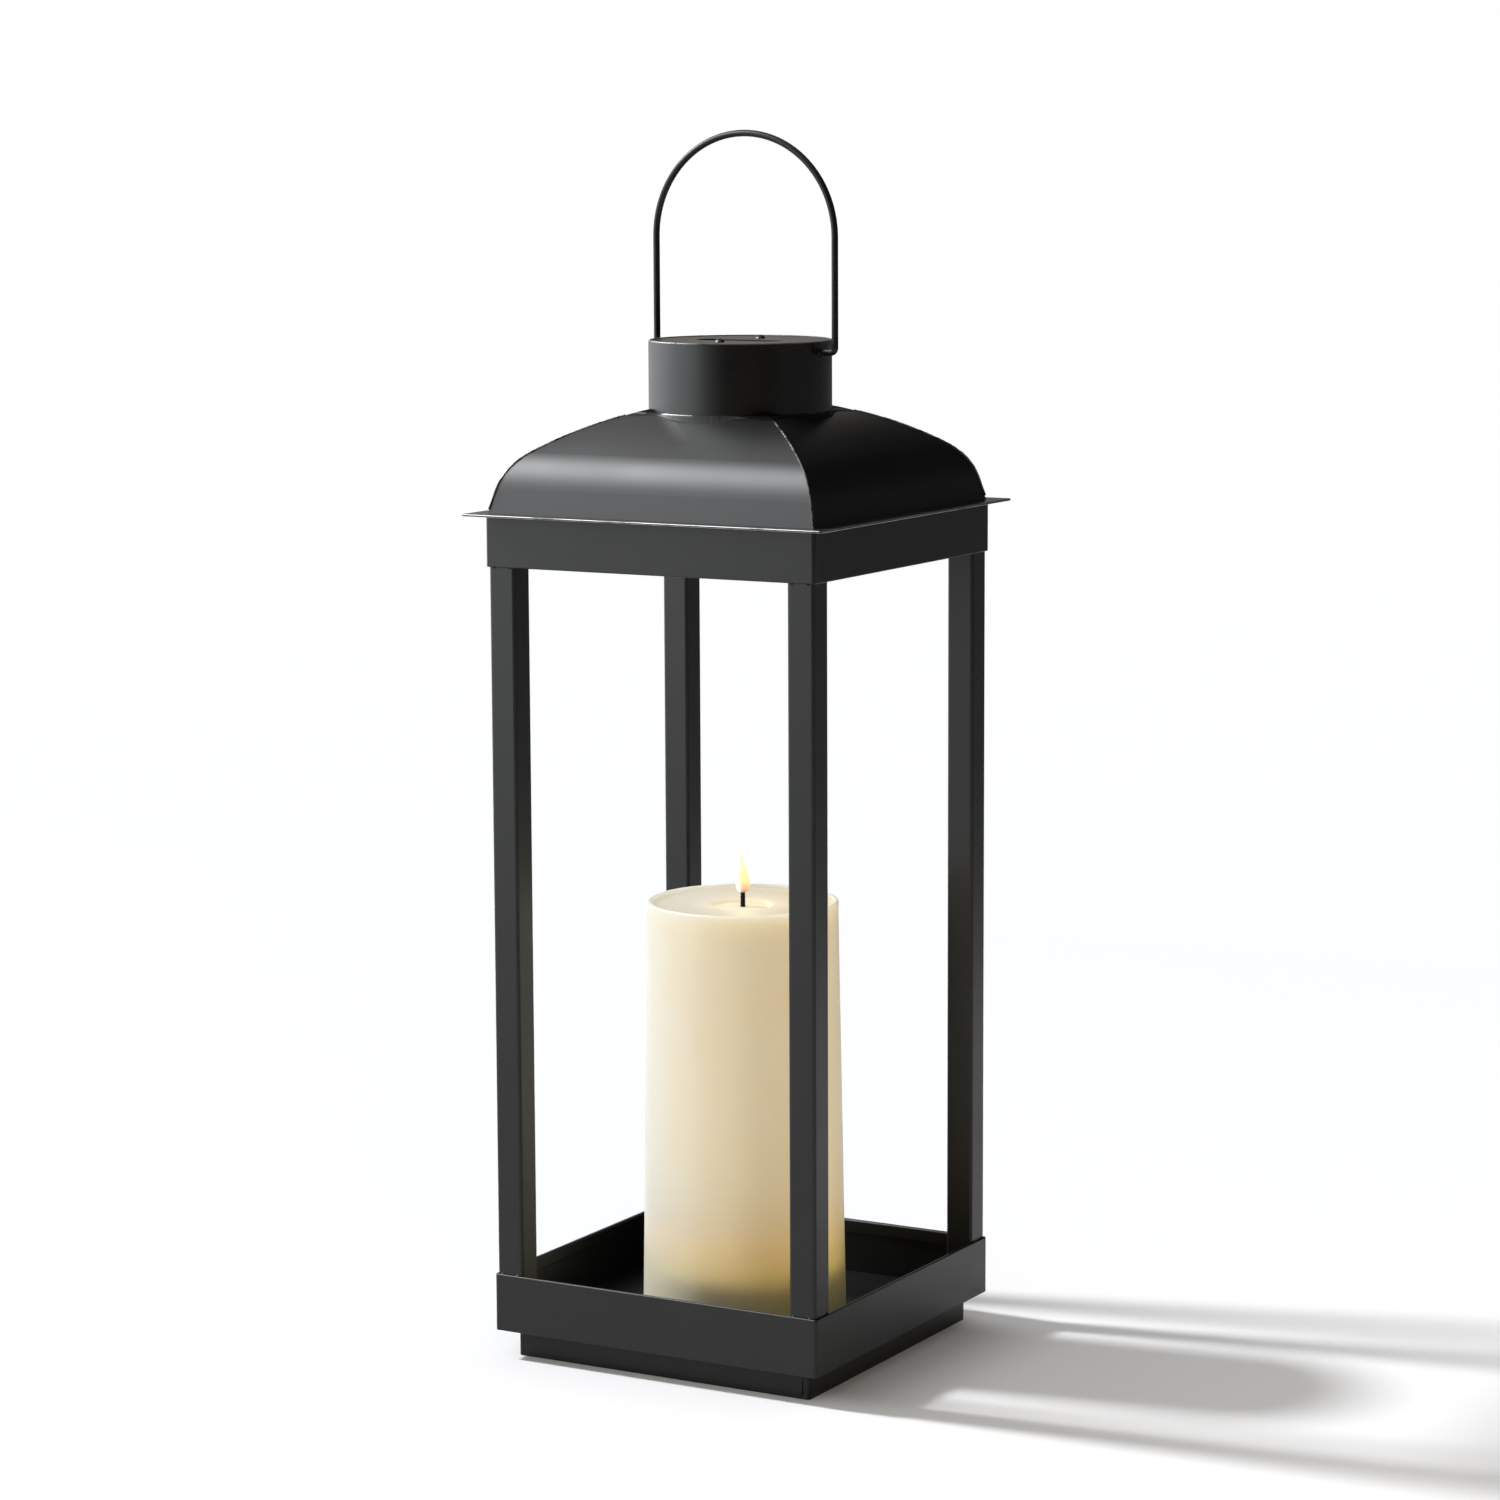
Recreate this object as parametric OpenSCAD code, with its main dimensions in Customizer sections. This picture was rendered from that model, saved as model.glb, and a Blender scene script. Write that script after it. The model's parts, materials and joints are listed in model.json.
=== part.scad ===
// Candle lantern: a square sheet-metal lantern with open sides, a curved four-panel roof, a round
// collar with a swinging wire handle, and a battery pillar candle that stands in its tray.
// Millimetres, +Z up, origin at the bottom centre. The front is the -Y side.

/* [Bands and sides] */
// Outside width of the base band and of the upper band
band_w = 190; // [170:1:230]
// Height of the base band
base_band_h = 30; // [20:1:45]
// Height of the upper band
upper_band_h = 26; // [18:1:40]
// Clear height of the open sides, from the base band to the upper band
open_h = 368; // [320:1:460]
// Thickness of the sheet metal
sheet_t = 1.2; // [0.8:0.1:1.6]
// Outside radius of the bent vertical corners of the bands and the plinth
bend_r = 1.8; // [1.7:0.1:3]
// Depth of the hem, the edge of a band folded back on itself
hem_h = 7; // [4:0.5:10]

/* [Posts] */
// Width of each square tube post
post_w = 15; // [10:0.5:20]
// Wall of each post
post_t = 1.2; // [0.8:0.1:2]
// Outside corner radius of each post
post_r = 1.6; // [1.4:0.1:2.5]

/* [Plinth] */
// Width of the plinth, set in under the base band
plinth_w = 172.5; // [150:0.5:185]
// Height of the plinth
plinth_h = 14.5; // [8:0.5:25]
// Width of the foot flange turned in at the bottom of the plinth
foot_w = 9; // [5:0.5:15]
// Width of the lap seam at the near corner of the plinth
seam_w = 2.4; // [1.5:0.1:4]

/* [Eave and roof] */
// Outside width of the flat eave plate
eave_w = 207.6; // [200:0.2:250]
// Width of the ledge that the eave plate covers inside the upper band
eave_ledge = 17; // [10:0.5:25]
// Lean of the straight foot of each roof panel, in degrees from upright
roof_lean = 15; // [8:0.5:25]
// Radius of the roof's shoulder
shoulder_r = 32; // [20:1:40]
// Radius of the roof's crown
crown_r = 135; // [120:1:170]
// Height of the crown above the eave plate, where the collar hides it
roof_h = 55; // [50:0.5:65]
// Gap that the weld fills between the collar and the roof, and along each hip
weld_gap = 0.1; // [0.05:0.05:0.3]

/* [Collar and cap] */
// Outside diameter of the collar
collar_d = 94; // [80:0.5:110]
// Height of the collar's rim above the roof's crown
collar_rise = 30.5; // [28:0.5:50]
// Length of the collar below the roof's crown, inside the roof
collar_skirt = 14; // [11:0.5:20]
// Depth of the cap disc below the collar's rim
cap_inset = 0.5; // [0:0.1:2]
// Length of the vent slot in the cap disc
slot_l = 49; // [30:0.5:60]
// Width of the vent slot
slot_w = 15; // [8:0.5:22]
// Distance between the two cap screws
screw_pitch = 42; // [34:0.5:60]
// Thread diameter of the cap screws
screw_d = 3; // [2.5:0.5:4]
// Length of the spacers that hang the baffle below the cap
spacer_h = 8; // [4.5:0.5:10]
// Length of the rain and heat baffle, along the slot
baffle_l = 56; // [52:1:64]
// Width of the baffle
baffle_w = 56; // [52:1:66]

/* [Handle] */
// Diameter of the handle wire
wire_d = 3.4; // [2.5:0.1:4.5]
// Radius of the handle's arch, to the middle of the wire
arch_r = 52.2; // [51.5:0.1:60]
// Height of the handle above its pivots, to the middle of the wire
handle_h = 110; // [90:0.5:140]
// Depth of the pivot holes below the collar's rim
pivot_drop = 5.7; // [5:0.1:8]
// Sideways slack that the handle has taken up towards +X
handle_shift = 2.9; // [0:0.1:3.2]
// Radius of the bend at each end of the wire, to the middle of the wire
hook_r = 2.4; // [2.3:0.1:2.6]
// Length of each hooked end, from its bend
hook_l = 12; // [10:0.5:16]
// Clearance round the wire in its pivot holes
pivot_gap = 0.25; // [0.2:0.05:0.6]

/* [Candle] */
// Height of the candle to its rim
candle_h = 218.5; // [150:0.5:230]
// Diameter of the candle at its rim
candle_top_d = 99.6; // [96:0.2:106]
// Diameter of the candle at its base
candle_base_d = 107; // [104:0.5:120]
// Radius of the rounded rim
rim_r = 1.3; // [0.8:0.1:2]
// Depth of the dished top
dish_depth = 2.2; // [1.5:0.1:4]
// Radius of the curve between the dish and the rim
dish_fillet = 14; // [8:1:20]
// Diameter of the shallow pool round the wick
pool_d = 31; // [20:1:40]
// Depth of the pool
pool_depth = 0.8; // [0.4:0.1:1.2]
// Thickness of the wax round the top of the hollow
wax_wall = 7; // [5:0.5:9]
// Thickness of the wax under the dish
wax_roof = 8; // [6:0.5:12]
// Gap under the candle, where it stands on the tray
stand_gap = 0.2; // [0.1:0.05:0.4]

/* [Flame and wick] */
// Height of the flame lens
flame_h = 22.5; // [16:0.5:30]
// Greatest radius of the flame lens
flame_r = 3.7; // [3:0.1:5]
// Radius of the flame lens where it grips the wick
flame_foot_r = 1.6; // [1.5:0.1:2]
// Lean of the flame's tip towards -X
flame_lean = 1.6; // [0:0.1:3]
// Diameter of the wick
wick_d = 2.1; // [1.8:0.1:2.6]
// Length of the wick that shows above the pool
wick_show = 8; // [5:0.5:12]
// Diameter of the two leads inside the wick
lead_d = 0.4; // [0.3:0.05:0.5]

/* [Candle base] */
// Thickness of the plastic base plate
base_plate_t = 2.5; // [2:0.1:3.5]
// Depth of the base plate above the candle's foot
base_inset = 1; // [0.5:0.1:2]
// Thickness of the battery cover
cover_t = 2.5; // [2:0.1:3.5]
// Running gap round the battery cover and the switch knob
cover_gap = 0.3; // [0.2:0.05:0.6]
// Wall of the battery housing
housing_t = 2; // [1.5:0.1:3]
// Diameter of the lamp tower
tower_d = 10; // [8:0.5:14]
// Wall of the lamp tower
tower_t = 1.5; // [1:0.1:2]
// Thickness of the circuit board
board_t = 1.6; // [1:0.1:2]
// Diameter of each battery cell
cell_d = 14.3; // [10.3:0.1:14.5]
// Length of each battery cell, with its terminal
cell_l = 50.4; // [44:0.1:50.5]
// Travel of the switch knob
switch_travel = 4; // [3:0.5:5]
// Thread diameter of the base screws
base_screw_d = 2.2; // [1.8:0.1:2.6]

/* [Hidden] */

// Finishes
BLACK = "#2a2b2d";
DARK = "#1d1e20";
IVORY = "#efe6cf";
CREAM = "#e8dcc0";
STEEL = "#b9bcc0";
BRASS = "#c9a24a";
GREEN = "#2f6b46";

// A little extra length for cuts that run past a face
past = 1;

// Levels of the frame, from the floor up
floor_z = plinth_h + sheet_t;
base_top_z = plinth_h + base_band_h;
upper_bottom_z = base_top_z + open_h;
eave_z = upper_bottom_z + upper_band_h;
roof_z = eave_z + sheet_t;
crown_z = roof_z + roof_h;
rim_z = crown_z + collar_rise;
pivot_z = rim_z - pivot_drop;

// Plan sizes of the frame
band_in = band_w - 2 * sheet_t;
post_c = band_in / 2 - post_w / 2;
hem_l = band_in - 2 * post_w - 2;
roof_foot = band_in / 2;
seam_depth = 0.5;

// The roof's section: a leaning foot, a shoulder arc and a crown arc centred on the axis.
// The shoulder arc touches the foot line and touches the crown arc from inside.
crown_cz = crown_z - crown_r;
foot_dir = [-sin(roof_lean), cos(roof_lean)];
foot_out = [cos(roof_lean), sin(roof_lean)];
foot_pt = [roof_foot, roof_z];
shoulder_from = foot_pt - shoulder_r * foot_out - [0, crown_cz];
shoulder_b = shoulder_from * foot_dir;
shoulder_reach = crown_r - shoulder_r;
shoulder_run = -shoulder_b
    + sqrt(shoulder_b * shoulder_b - shoulder_from * shoulder_from + shoulder_reach * shoulder_reach);
shoulder_c = foot_pt + shoulder_run * foot_dir - shoulder_r * foot_out;
crown_dir = (shoulder_c - [0, crown_cz]) / shoulder_reach;

// Collar, cap and baffle
collar_r = collar_d / 2;
collar_in = collar_r - sheet_t;
collar_bottom_z = crown_z - collar_skirt;
cap_top_z = rim_z - cap_inset;
cap_z = cap_top_z - sheet_t;
screw_head_d = screw_d * 1.75;
screw_head_h = screw_d * 0.6;
screw_gap = 0.1;
spacer_wall = 1.5;
nut_flats = screw_d * 1.83;
nut_h = screw_d * 0.8;
baffle_z = cap_z - spacer_h - sheet_t;
lip_h = 3;

// Handle
leg_h = handle_h - arch_r;
pivot_hole_d = wire_d + 2 * pivot_gap;

// Candle levels, from the candle's own foot
candle_z = floor_z + stand_gap;
dish_z = candle_h - dish_depth;
pool_z = dish_z - pool_depth;
hollow_top = pool_z - wax_roof;
hollow_top_r = candle_top_d / 2 - wax_wall;
dish_r = candle_top_d / 2 - 2 * rim_r;
wick_hole_d = wick_d + 0.4;
wick_bore_d = wick_d - 0.7;
wick_top = pool_z + wick_show;
flame_z = wick_top - 1;

// Battery bay and cover, from the candle's own foot
plate_top = base_inset + base_plate_t;
spring_l = 4;
contact_t = 0.4;
bay_l = cell_l + spring_l + 2 * contact_t;
bay_gap = 0.6;
bay_w = 2 * cell_d + 3 * bay_gap;
cell_pitch = cell_d + bay_gap;
lug_h = 1.5;
lug_gap = 0.3;
cell_axis = base_inset + cover_t + lug_gap + lug_h + cell_d / 2;
bay_top = cell_axis + cell_d / 2 + bay_gap;
cover_r = sqrt(pow(bay_l / 2, 2) + pow(bay_w / 2, 2)) + 0.5;
lug_r = cover_r + 2.2;
lug_angle = 24;
lug_foot = 3;
lug_inset = 0.4;
bay_wall = 1.5;
tab_w = 3;
tab_gap = 0.3;
bay_floor = plate_top + lug_gap + lug_h + 0.6;
rib_gap = 0.3;
unlock_angle = 35;
lug_angles = [90, 210, 330];
coin_slot_l = 24;
coin_slot_w = 2.4;

// Slide switch between the cover and the front of the housing
knob_l = 4;
knob_w = 2.2;
knob_flange = 0.8;
knob_flange_t = 1;
knob_gap = 0.25;
switch_rib = 1.4;
switch_body_l = knob_l + 2 * knob_flange + switch_travel + 2 * (switch_rib + cover_gap);
switch_body_w = 4;
switch_body_h = 4.2;
switch_body_z = plate_top + knob_flange_t + 2 * knob_gap;
switch_y = -(lug_r + lug_gap + knob_flange + switch_body_w / 2);
knob_drop = 0.5;
stem_l = 1.8;
stem_w = 1.2;
stem_h = 2;
switch_wire_d = 1;
wire_pitch = 5;

// The housing clears the switch, the base plate carries the housing, and the wax fits the plate
switch_clear = 0.4;
housing_in = sqrt(pow(switch_body_l / 2, 2) + pow(switch_body_w / 2 - switch_y, 2)) + switch_clear;
housing_r = housing_in + housing_t;
housing_top = bay_top + housing_t;
housing_gap = 4;
plate_r = housing_r + housing_gap;
plate_gap = 0.3;
hollow_base_r = plate_r + plate_gap;
board_z = housing_top;
board_r = bay_l / 2 + 3;
tongue_w = 10;

// Lamp tower, wick and lamp
tower_flange_r = tower_d / 2 + 4;
tower_flange_h = 2;
tower_cap_t = 3;
wick_seat = 2;
tower_top = hollow_top - 0.3;
tower_foot = board_z + board_t;
led_r = 1.5;
led_h = 4.2;
led_z = flame_z + 1.6;
lead_pitch = 0.7;

// Base screws stand on a circle just inside the housing's wall
boss_wall = 1.4;
boss_r = base_screw_d / 2 + boss_wall;
base_screw_ring = housing_in - boss_wall;
base_screw_angles = [30, 150, 210, 330];
base_screw_head_h = 1.2;
base_screw_l = 9;

$fn = 64;

// ---- Shared shapes ----

// Square outline with round corners, centred
module rounded_square(w, r) {
    square([w - 2 * r, w], center = true);
    square([w, w - 2 * r], center = true);
    for (x = [-1, 1], y = [-1, 1]) {
        translate([x * (w / 2 - r), y * (w / 2 - r)]) circle(r = r);
    }
}

// Upright square block with round corners
module rounded_block(w, r, h) {
    linear_extrude(height = h) rounded_square(w, r);
}

// Square block whose top edges are rolled over to radius r
module rolled_bar(w, h, r) {
    rotate([90, 0, 0]) linear_extrude(height = w + 2 * past, center = true) {
        translate([-w / 2, 0]) square([w, h - r]);
        translate([r - w / 2, 0]) square([w - 2 * r, h]);
        for (x = [-1, 1]) {
            translate([x * (w / 2 - r), h - r]) circle(r = r);
        }
    }
}

// Band of sheet bent into a square, with its top edge hemmed inwards between the posts
module hemmed_band(h) {
    difference() {
        intersection() {
            rounded_block(band_w, bend_r, h);
            rolled_bar(band_w, h, sheet_t / 2);
            rotate([0, 0, 90]) rolled_bar(band_w, h, sheet_t / 2);
        }
        translate([0, 0, -past]) rounded_block(band_in, bend_r - sheet_t, h + 2 * past);
    }
    for (a = [0 : 90 : 270]) {
        rotate([0, 0, a]) translate([0, -band_w / 2, h]) hem();
    }
}

// Folded edge of one side of a band: a doubled sheet with a round fold on top
module hem() {
    rotate([90, 0, 90]) linear_extrude(height = hem_l, center = true) {
        translate([sheet_t / 2, -hem_h]) square([1.5 * sheet_t, hem_h - sheet_t]);
        intersection() {
            translate([sheet_t, -sheet_t]) circle(r = sheet_t);
            translate([sheet_t / 2, -sheet_t]) square([1.5 * sheet_t, sheet_t]);
        }
    }
}

// Pipe between two radii
module pipe(r_out, r_in, h) {
    difference() {
        cylinder(r = r_out, h = h);
        translate([0, 0, -past]) cylinder(r = r_in, h = h + 2 * past);
    }
}

// Everything of the candle stands on the tray
module on_tray() {
    translate([0, 0, candle_z]) children();
}

// ---- Base ----

// Inset foot: a strip bent into a square, lapped at the near corner, with a flange to stand on
module plinth() {
    color(BLACK) difference() {
        rounded_block(plinth_w, bend_r, plinth_h);
        translate([0, 0, sheet_t]) rounded_block(plinth_w - 2 * sheet_t, bend_r - sheet_t, plinth_h);
        translate([0, 0, -past]) {
            rounded_block(plinth_w - 2 * foot_w, bend_r, plinth_h);
        }
        translate([plinth_w / 2 - bend_r - seam_w, -plinth_w / 2 - past, sheet_t]) {
            cube([seam_w, past + seam_depth, plinth_h]);
        }
    }
}

// Flat tray floor that closes the band's bottom and lies on the plinth
module tray_floor() {
    color(BLACK) translate([0, 0, plinth_h]) {
        rounded_block(band_in, bend_r - sheet_t, sheet_t);
    }
}

// Skirt round the tray
module base_band() {
    color(BLACK) translate([0, 0, plinth_h]) hemmed_band(base_band_h);
}

// ---- Sides ----

// Square tube from the tray floor to the eave plate, at the corner given by two signs
module post(x, y) {
    color(BLACK) translate([x * post_c, y * post_c, floor_z]) difference() {
        rounded_block(post_w, post_r, eave_z - floor_z);
        translate([0, 0, -past]) {
            rounded_block(post_w - 2 * post_t, max(post_r - post_t, 0.2), eave_z);
        }
    }
}

module post_front_left() { post(-1, -1); }
module post_front_right() { post(1, -1); }
module post_back_right() { post(1, 1); }
module post_back_left() { post(-1, 1); }

// Fascia round the tops of the posts: the same band turned over, hem down
module upper_band() {
    color(BLACK) translate([0, 0, eave_z]) mirror([0, 0, 1]) hemmed_band(upper_band_h);
}

// ---- Roof ----

// Flat square ring that stands out as the eave and carries the roof
module eave_plate() {
    color(BLACK) translate([0, 0, eave_z]) difference() {
        rounded_block(eave_w, bend_r, sheet_t);
        translate([0, 0, -past]) rounded_block(band_w - 2 * eave_ledge, bend_r, sheet_t + 2 * past);
    }
}

// Half of the roof's section, inset from its outer skin and drawn down past the eave by a drop
module roof_half_section(inset, drop) {
    wall_pt = foot_pt - inset * foot_out;
    wall_low = wall_pt + (inset * sin(roof_lean) - drop) / cos(roof_lean) * foot_dir;
    wall_high = wall_pt + 2 * roof_h * foot_dir;
    difference() {
        intersection() {
            translate([0, crown_cz]) circle(r = crown_r - inset, $fn = 180);
            polygon([[0, wall_low[1]], wall_low, wall_high, [0, wall_high[1]]]);
        }
        difference() {
            polygon([
                shoulder_c,
                shoulder_c + 2 * shoulder_r * foot_out,
                shoulder_c + 2 * shoulder_r * (foot_out + crown_dir),
                shoulder_c + 2 * shoulder_r * crown_dir
            ]);
            translate(shoulder_c) circle(r = shoulder_r - inset, $fn = 120);
        }
    }
}

// One curved sheet, mitred along the hips at both sides and cut round the collar.
// The angle turns it from the +X side.
module roof_panel(a) {
    color(BLACK) rotate([0, 0, a]) difference() {
        intersection() {
            rotate([90, 0, 0]) linear_extrude(height = band_w, center = true) difference() {
                roof_half_section(0, 0);
                roof_half_section(sheet_t, past);
            }
            translate([weld_gap / sqrt(2), 0, roof_z - past]) linear_extrude(height = 2 * roof_h) {
                polygon([[0, 0], [band_w, -band_w], [band_w, band_w]]);
            }
        }
        translate([0, 0, roof_z]) cylinder(r = collar_r + weld_gap, h = 2 * roof_h, $fn = 96);
    }
}

module roof_right() { roof_panel(0); }
module roof_back() { roof_panel(90); }
module roof_left() { roof_panel(180); }
module roof_front() { roof_panel(270); }

// ---- Collar and cap ----

// Short tube welded through the top of the roof, with a pivot hole on each side for the handle
module collar() {
    color(BLACK) difference() {
        translate([0, 0, collar_bottom_z]) pipe(collar_r, collar_in, rim_z - collar_bottom_z, $fn = 96);
        translate([0, 0, pivot_z]) rotate([0, 90, 0]) {
            cylinder(d = pivot_hole_d, h = collar_d + 2 * past, center = true, $fn = 48);
        }
    }
}

// Slot with round ends, along X
module slot_outline(l, w) {
    square([l - w, w], center = true);
    for (x = [-1, 1]) {
        translate([x * (l - w) / 2, 0]) circle(d = w);
    }
}

// Both cap screws stand on the line across the slot
module at_cap_screws() {
    for (y = [-1, 1]) {
        translate([0, y * screw_pitch / 2, 0]) children();
    }
}

// Disc set into the collar, with a vent slot and two screw holes
module cap_disc() {
    color(DARK) difference() {
        translate([0, 0, cap_z]) cylinder(r = collar_in - weld_gap, h = sheet_t, $fn = 96);
        translate([0, 0, cap_z - past]) linear_extrude(height = sheet_t + 2 * past) {
            slot_outline(slot_l, slot_w);
        }
        translate([0, 0, cap_z - past]) at_cap_screws() {
            cylinder(d = screw_d + 2 * screw_gap, h = sheet_t + 2 * past, $fn = 32);
        }
    }
}

// Two dome-head screws with a driver slot
module cap_screws() {
    dome_r = (screw_head_d * screw_head_d / 4 + screw_head_h * screw_head_h) / (2 * screw_head_h);
    shank = cap_top_z - baffle_z + nut_h + screw_d / 3;
    color(DARK) at_cap_screws() {
        difference() {
            translate([0, 0, cap_top_z]) intersection() {
                translate([0, 0, screw_head_h - dome_r]) sphere(r = dome_r);
                cylinder(d = screw_head_d, h = screw_head_h, $fn = 48);
            }
            translate([-screw_head_d / 2, -screw_d / 10, cap_top_z + screw_head_h / 2]) {
                cube([screw_head_d, screw_d / 5, screw_head_h]);
            }
        }
        translate([0, 0, cap_top_z - shank]) cylinder(d = screw_d, h = shank, $fn = 32);
    }
}

// Two tube spacers between the cap and the baffle
module baffle_spacers() {
    color(DARK) translate([0, 0, cap_z - spacer_h]) at_cap_screws() {
        pipe(screw_d / 2 + spacer_wall, screw_d / 2 + screw_gap, spacer_h, $fn = 40);
    }
}

// Plate that hangs under the slot and keeps rain off the candle, with its ends turned down
module vent_baffle() {
    color(DARK) difference() {
        union() {
            translate([-baffle_l / 2, -baffle_w / 2, baffle_z]) cube([baffle_l, baffle_w, sheet_t]);
            for (x = [-1, 1]) {
                translate([x * (baffle_l - sheet_t) / 2 - sheet_t / 2, -baffle_w / 2, baffle_z - lip_h]) {
                    cube([sheet_t, baffle_w, lip_h + sheet_t / 2]);
                }
            }
        }
        translate([0, 0, baffle_z - past]) at_cap_screws() {
            cylinder(d = screw_d + 2 * screw_gap, h = sheet_t + 2 * past, $fn = 32);
        }
    }
}

// Two hexagon nuts under the baffle
module cap_nuts() {
    color(STEEL) translate([0, 0, baffle_z - nut_h]) at_cap_screws() difference() {
        cylinder(d = nut_flats / cos(30), h = nut_h, $fn = 6);
        translate([0, 0, -past]) cylinder(d = screw_d + screw_gap, h = nut_h + 2 * past, $fn = 32);
    }
}

// ---- Handle ----

// One side of the handle: the leg, the bend at its foot and the hooked end through the collar
module handle_side() {
    translate([arch_r, 0, hook_r]) cylinder(d = wire_d, h = leg_h - hook_r, $fn = 48);
    translate([arch_r - hook_r, 0, hook_r]) rotate([90, 0, 0]) rotate([0, 0, 270]) {
        rotate_extrude(angle = 90) translate([hook_r, 0]) circle(d = wire_d, $fn = 48);
    }
    translate([arch_r - hook_r - hook_l, 0, 0]) rotate([0, 90, 0]) cylinder(d = wire_d, h = hook_l, $fn = 48);
}

// Bail of round wire that swings on the two holes of the collar
module handle() {
    color(DARK) translate([handle_shift, 0, pivot_z]) {
        translate([0, 0, leg_h]) rotate([90, 0, 0]) {
            rotate_extrude(angle = 180, $fn = 128) translate([arch_r, 0]) circle(d = wire_d, $fn = 48);
        }
        for (m = [0, 1]) {
            mirror([m, 0, 0]) handle_side();
        }
    }
}

// ---- Candle ----

// Half outline of the solid candle, tapered, with a round rim
module wax_outline() {
    polygon([
        [0, 0],
        [candle_base_d / 2, 0],
        [candle_top_d / 2, candle_h - rim_r],
        [0, candle_h - rim_r]
    ]);
    translate([candle_top_d / 2 - rim_r, candle_h - rim_r]) circle(r = rim_r, $fn = 32);
}

// Half outline of what is taken out above the candle's dished top
module dish_outline() {
    rise = dish_depth - rim_r;
    run = sqrt(2 * dish_fillet * rise - rise * rise);
    translate([0, dish_z]) square([dish_r - run, dish_depth]);
    intersection() {
        translate([dish_r - run, dish_z + dish_fillet]) circle(r = dish_fillet, $fn = 180);
        translate([dish_r - run - past / 4, dish_z]) square([run + past / 4, dish_depth]);
    }
    polygon([
        [0, pool_z],
        [pool_d / 2 - 3 * pool_depth, pool_z],
        [pool_d / 2, dish_z + pool_depth / 10],
        [0, dish_z + pool_depth / 10]
    ]);
}

// Half outline of the hollow, with the hole for the wick
module hollow_outline() {
    polygon([
        [0, -past],
        [hollow_base_r, -past],
        [hollow_base_r, 0],
        [hollow_top_r, hollow_top],
        [0, hollow_top]
    ]);
    square([wick_hole_d / 2, candle_h]);
}

// Hollow pillar of wax with a dished top and a shallow pool round the wick
module wax_shell() {
    color(IVORY) on_tray() rotate_extrude($fn = 128) difference() {
        wax_outline();
        dish_outline();
        hollow_outline();
    }
}

// Radius of the flame lens at a fraction of its height: full low down, drawn out to a point
function flame_radius(t) = flame_foot_r * (1 - t) * (1 - t) + (flame_r - flame_foot_r / 2) * sin(180 * pow(t, 0.55));

// Clear flame-shaped lens, leaning a little, hollow at its foot for the lamp and the wick
module flame_lens() {
    rings = 18;
    sides = 28;
    points = [
        for (i = [0 : rings]) for (j = [0 : sides - 1])
            let (t = i / rings, r = max(flame_radius(t), 0.15), a = 360 * j / sides)
            [r * cos(a) - flame_lean * t * t, r * sin(a), flame_h * t]
    ];
    walls = [
        for (i = [0 : rings - 1]) for (j = [0 : sides - 1])
            let (k = (j + 1) % sides)
            [i * sides + j, (i + 1) * sides + j, (i + 1) * sides + k, i * sides + k]
    ];
    ends = [
        [for (j = [0 : sides - 1]) j],
        [for (j = [sides - 1 : -1 : 0]) rings * sides + j]
    ];
    color("#ffe9b0") on_tray() difference() {
        translate([0, 0, flame_z]) polyhedron(points = points, faces = concat(walls, ends));
        translate([0, 0, flame_z - past]) cylinder(d = wick_d + 0.1, h = past + led_z - flame_z + past / 2, $fn = 32);
        translate([0, 0, led_z - lead_d / 2]) cylinder(r = led_r + 0.1, h = led_h + lead_d, $fn = 32);
    }
}

// Small round lamp with a domed top, inside the flame
module flame_led() {
    color("#fff4d6") on_tray() translate([0, 0, led_z]) {
        cylinder(r = led_r, h = led_h - led_r, $fn = 32);
        translate([0, 0, led_h - led_r]) intersection() {
            sphere(r = led_r, $fn = 32);
            cylinder(r = led_r, h = led_r, $fn = 32);
        }
    }
}

// Black sleeve that stands in the tower, passes through the wax and carries the flame
module wick() {
    color("#15120f") on_tray() translate([0, 0, tower_top - wick_seat]) {
        pipe(wick_d / 2, wick_bore_d / 2, led_z - tower_top + wick_seat - lead_d / 2, $fn = 32);
    }
}

// Two fine leads from the circuit board up the tower and the wick to the lamp
module led_leads() {
    color(STEEL) on_tray() for (x = [-1, 1]) {
        translate([x * lead_pitch / 2, 0, board_z]) cylinder(d = lead_d, h = led_z - board_z, $fn = 16);
    }
}

// Tube on a foot that reaches up to the wax and holds the wick
module lamp_tower() {
    color(CREAM) on_tray() difference() {
        translate([0, 0, tower_foot]) {
            cylinder(d = tower_d, h = tower_top - tower_foot, $fn = 48);
            cylinder(r = tower_flange_r, h = tower_flange_h, $fn = 48);
        }
        translate([0, 0, tower_foot - past]) {
            cylinder(d = tower_d - 2 * tower_t, h = tower_top - tower_foot + past - tower_cap_t, $fn = 48);
        }
        translate([0, 0, tower_foot]) cylinder(d = wick_bore_d, h = tower_top, $fn = 32);
        translate([0, 0, tower_top - wick_seat]) cylinder(d = wick_d + 0.1, h = wick_seat + past, $fn = 32);
    }
}

// ---- Candle base ----

// Positions round the axis at given angles
module around(angles, r) {
    for (a = angles) {
        rotate([0, 0, a]) translate([r, 0, 0]) children();
    }
}

// Ring sector along +X, between two radii
module sector(r_in, r_out, angle, h) {
    intersection() {
        pipe(r_out, r_in, h);
        linear_extrude(height = h) {
            polygon([[0, 0], [2 * r_out, -2 * r_out * tan(angle / 2)], [2 * r_out, 2 * r_out * tan(angle / 2)]]);
        }
    }
}

// Places the solder tab of each contact: both ends of the front cell and of the back cell
module at_tabs() {
    for (x = [-1, 1], y = [-1, 1]) {
        translate([x * (bay_l - contact_t) / 2, y * cell_pitch / 2, 0]) children();
    }
}

// Box centred in X and Y
module box(l, w, z, h) {
    translate([-l / 2, -w / 2, z]) cube([l, w, h]);
}

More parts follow.
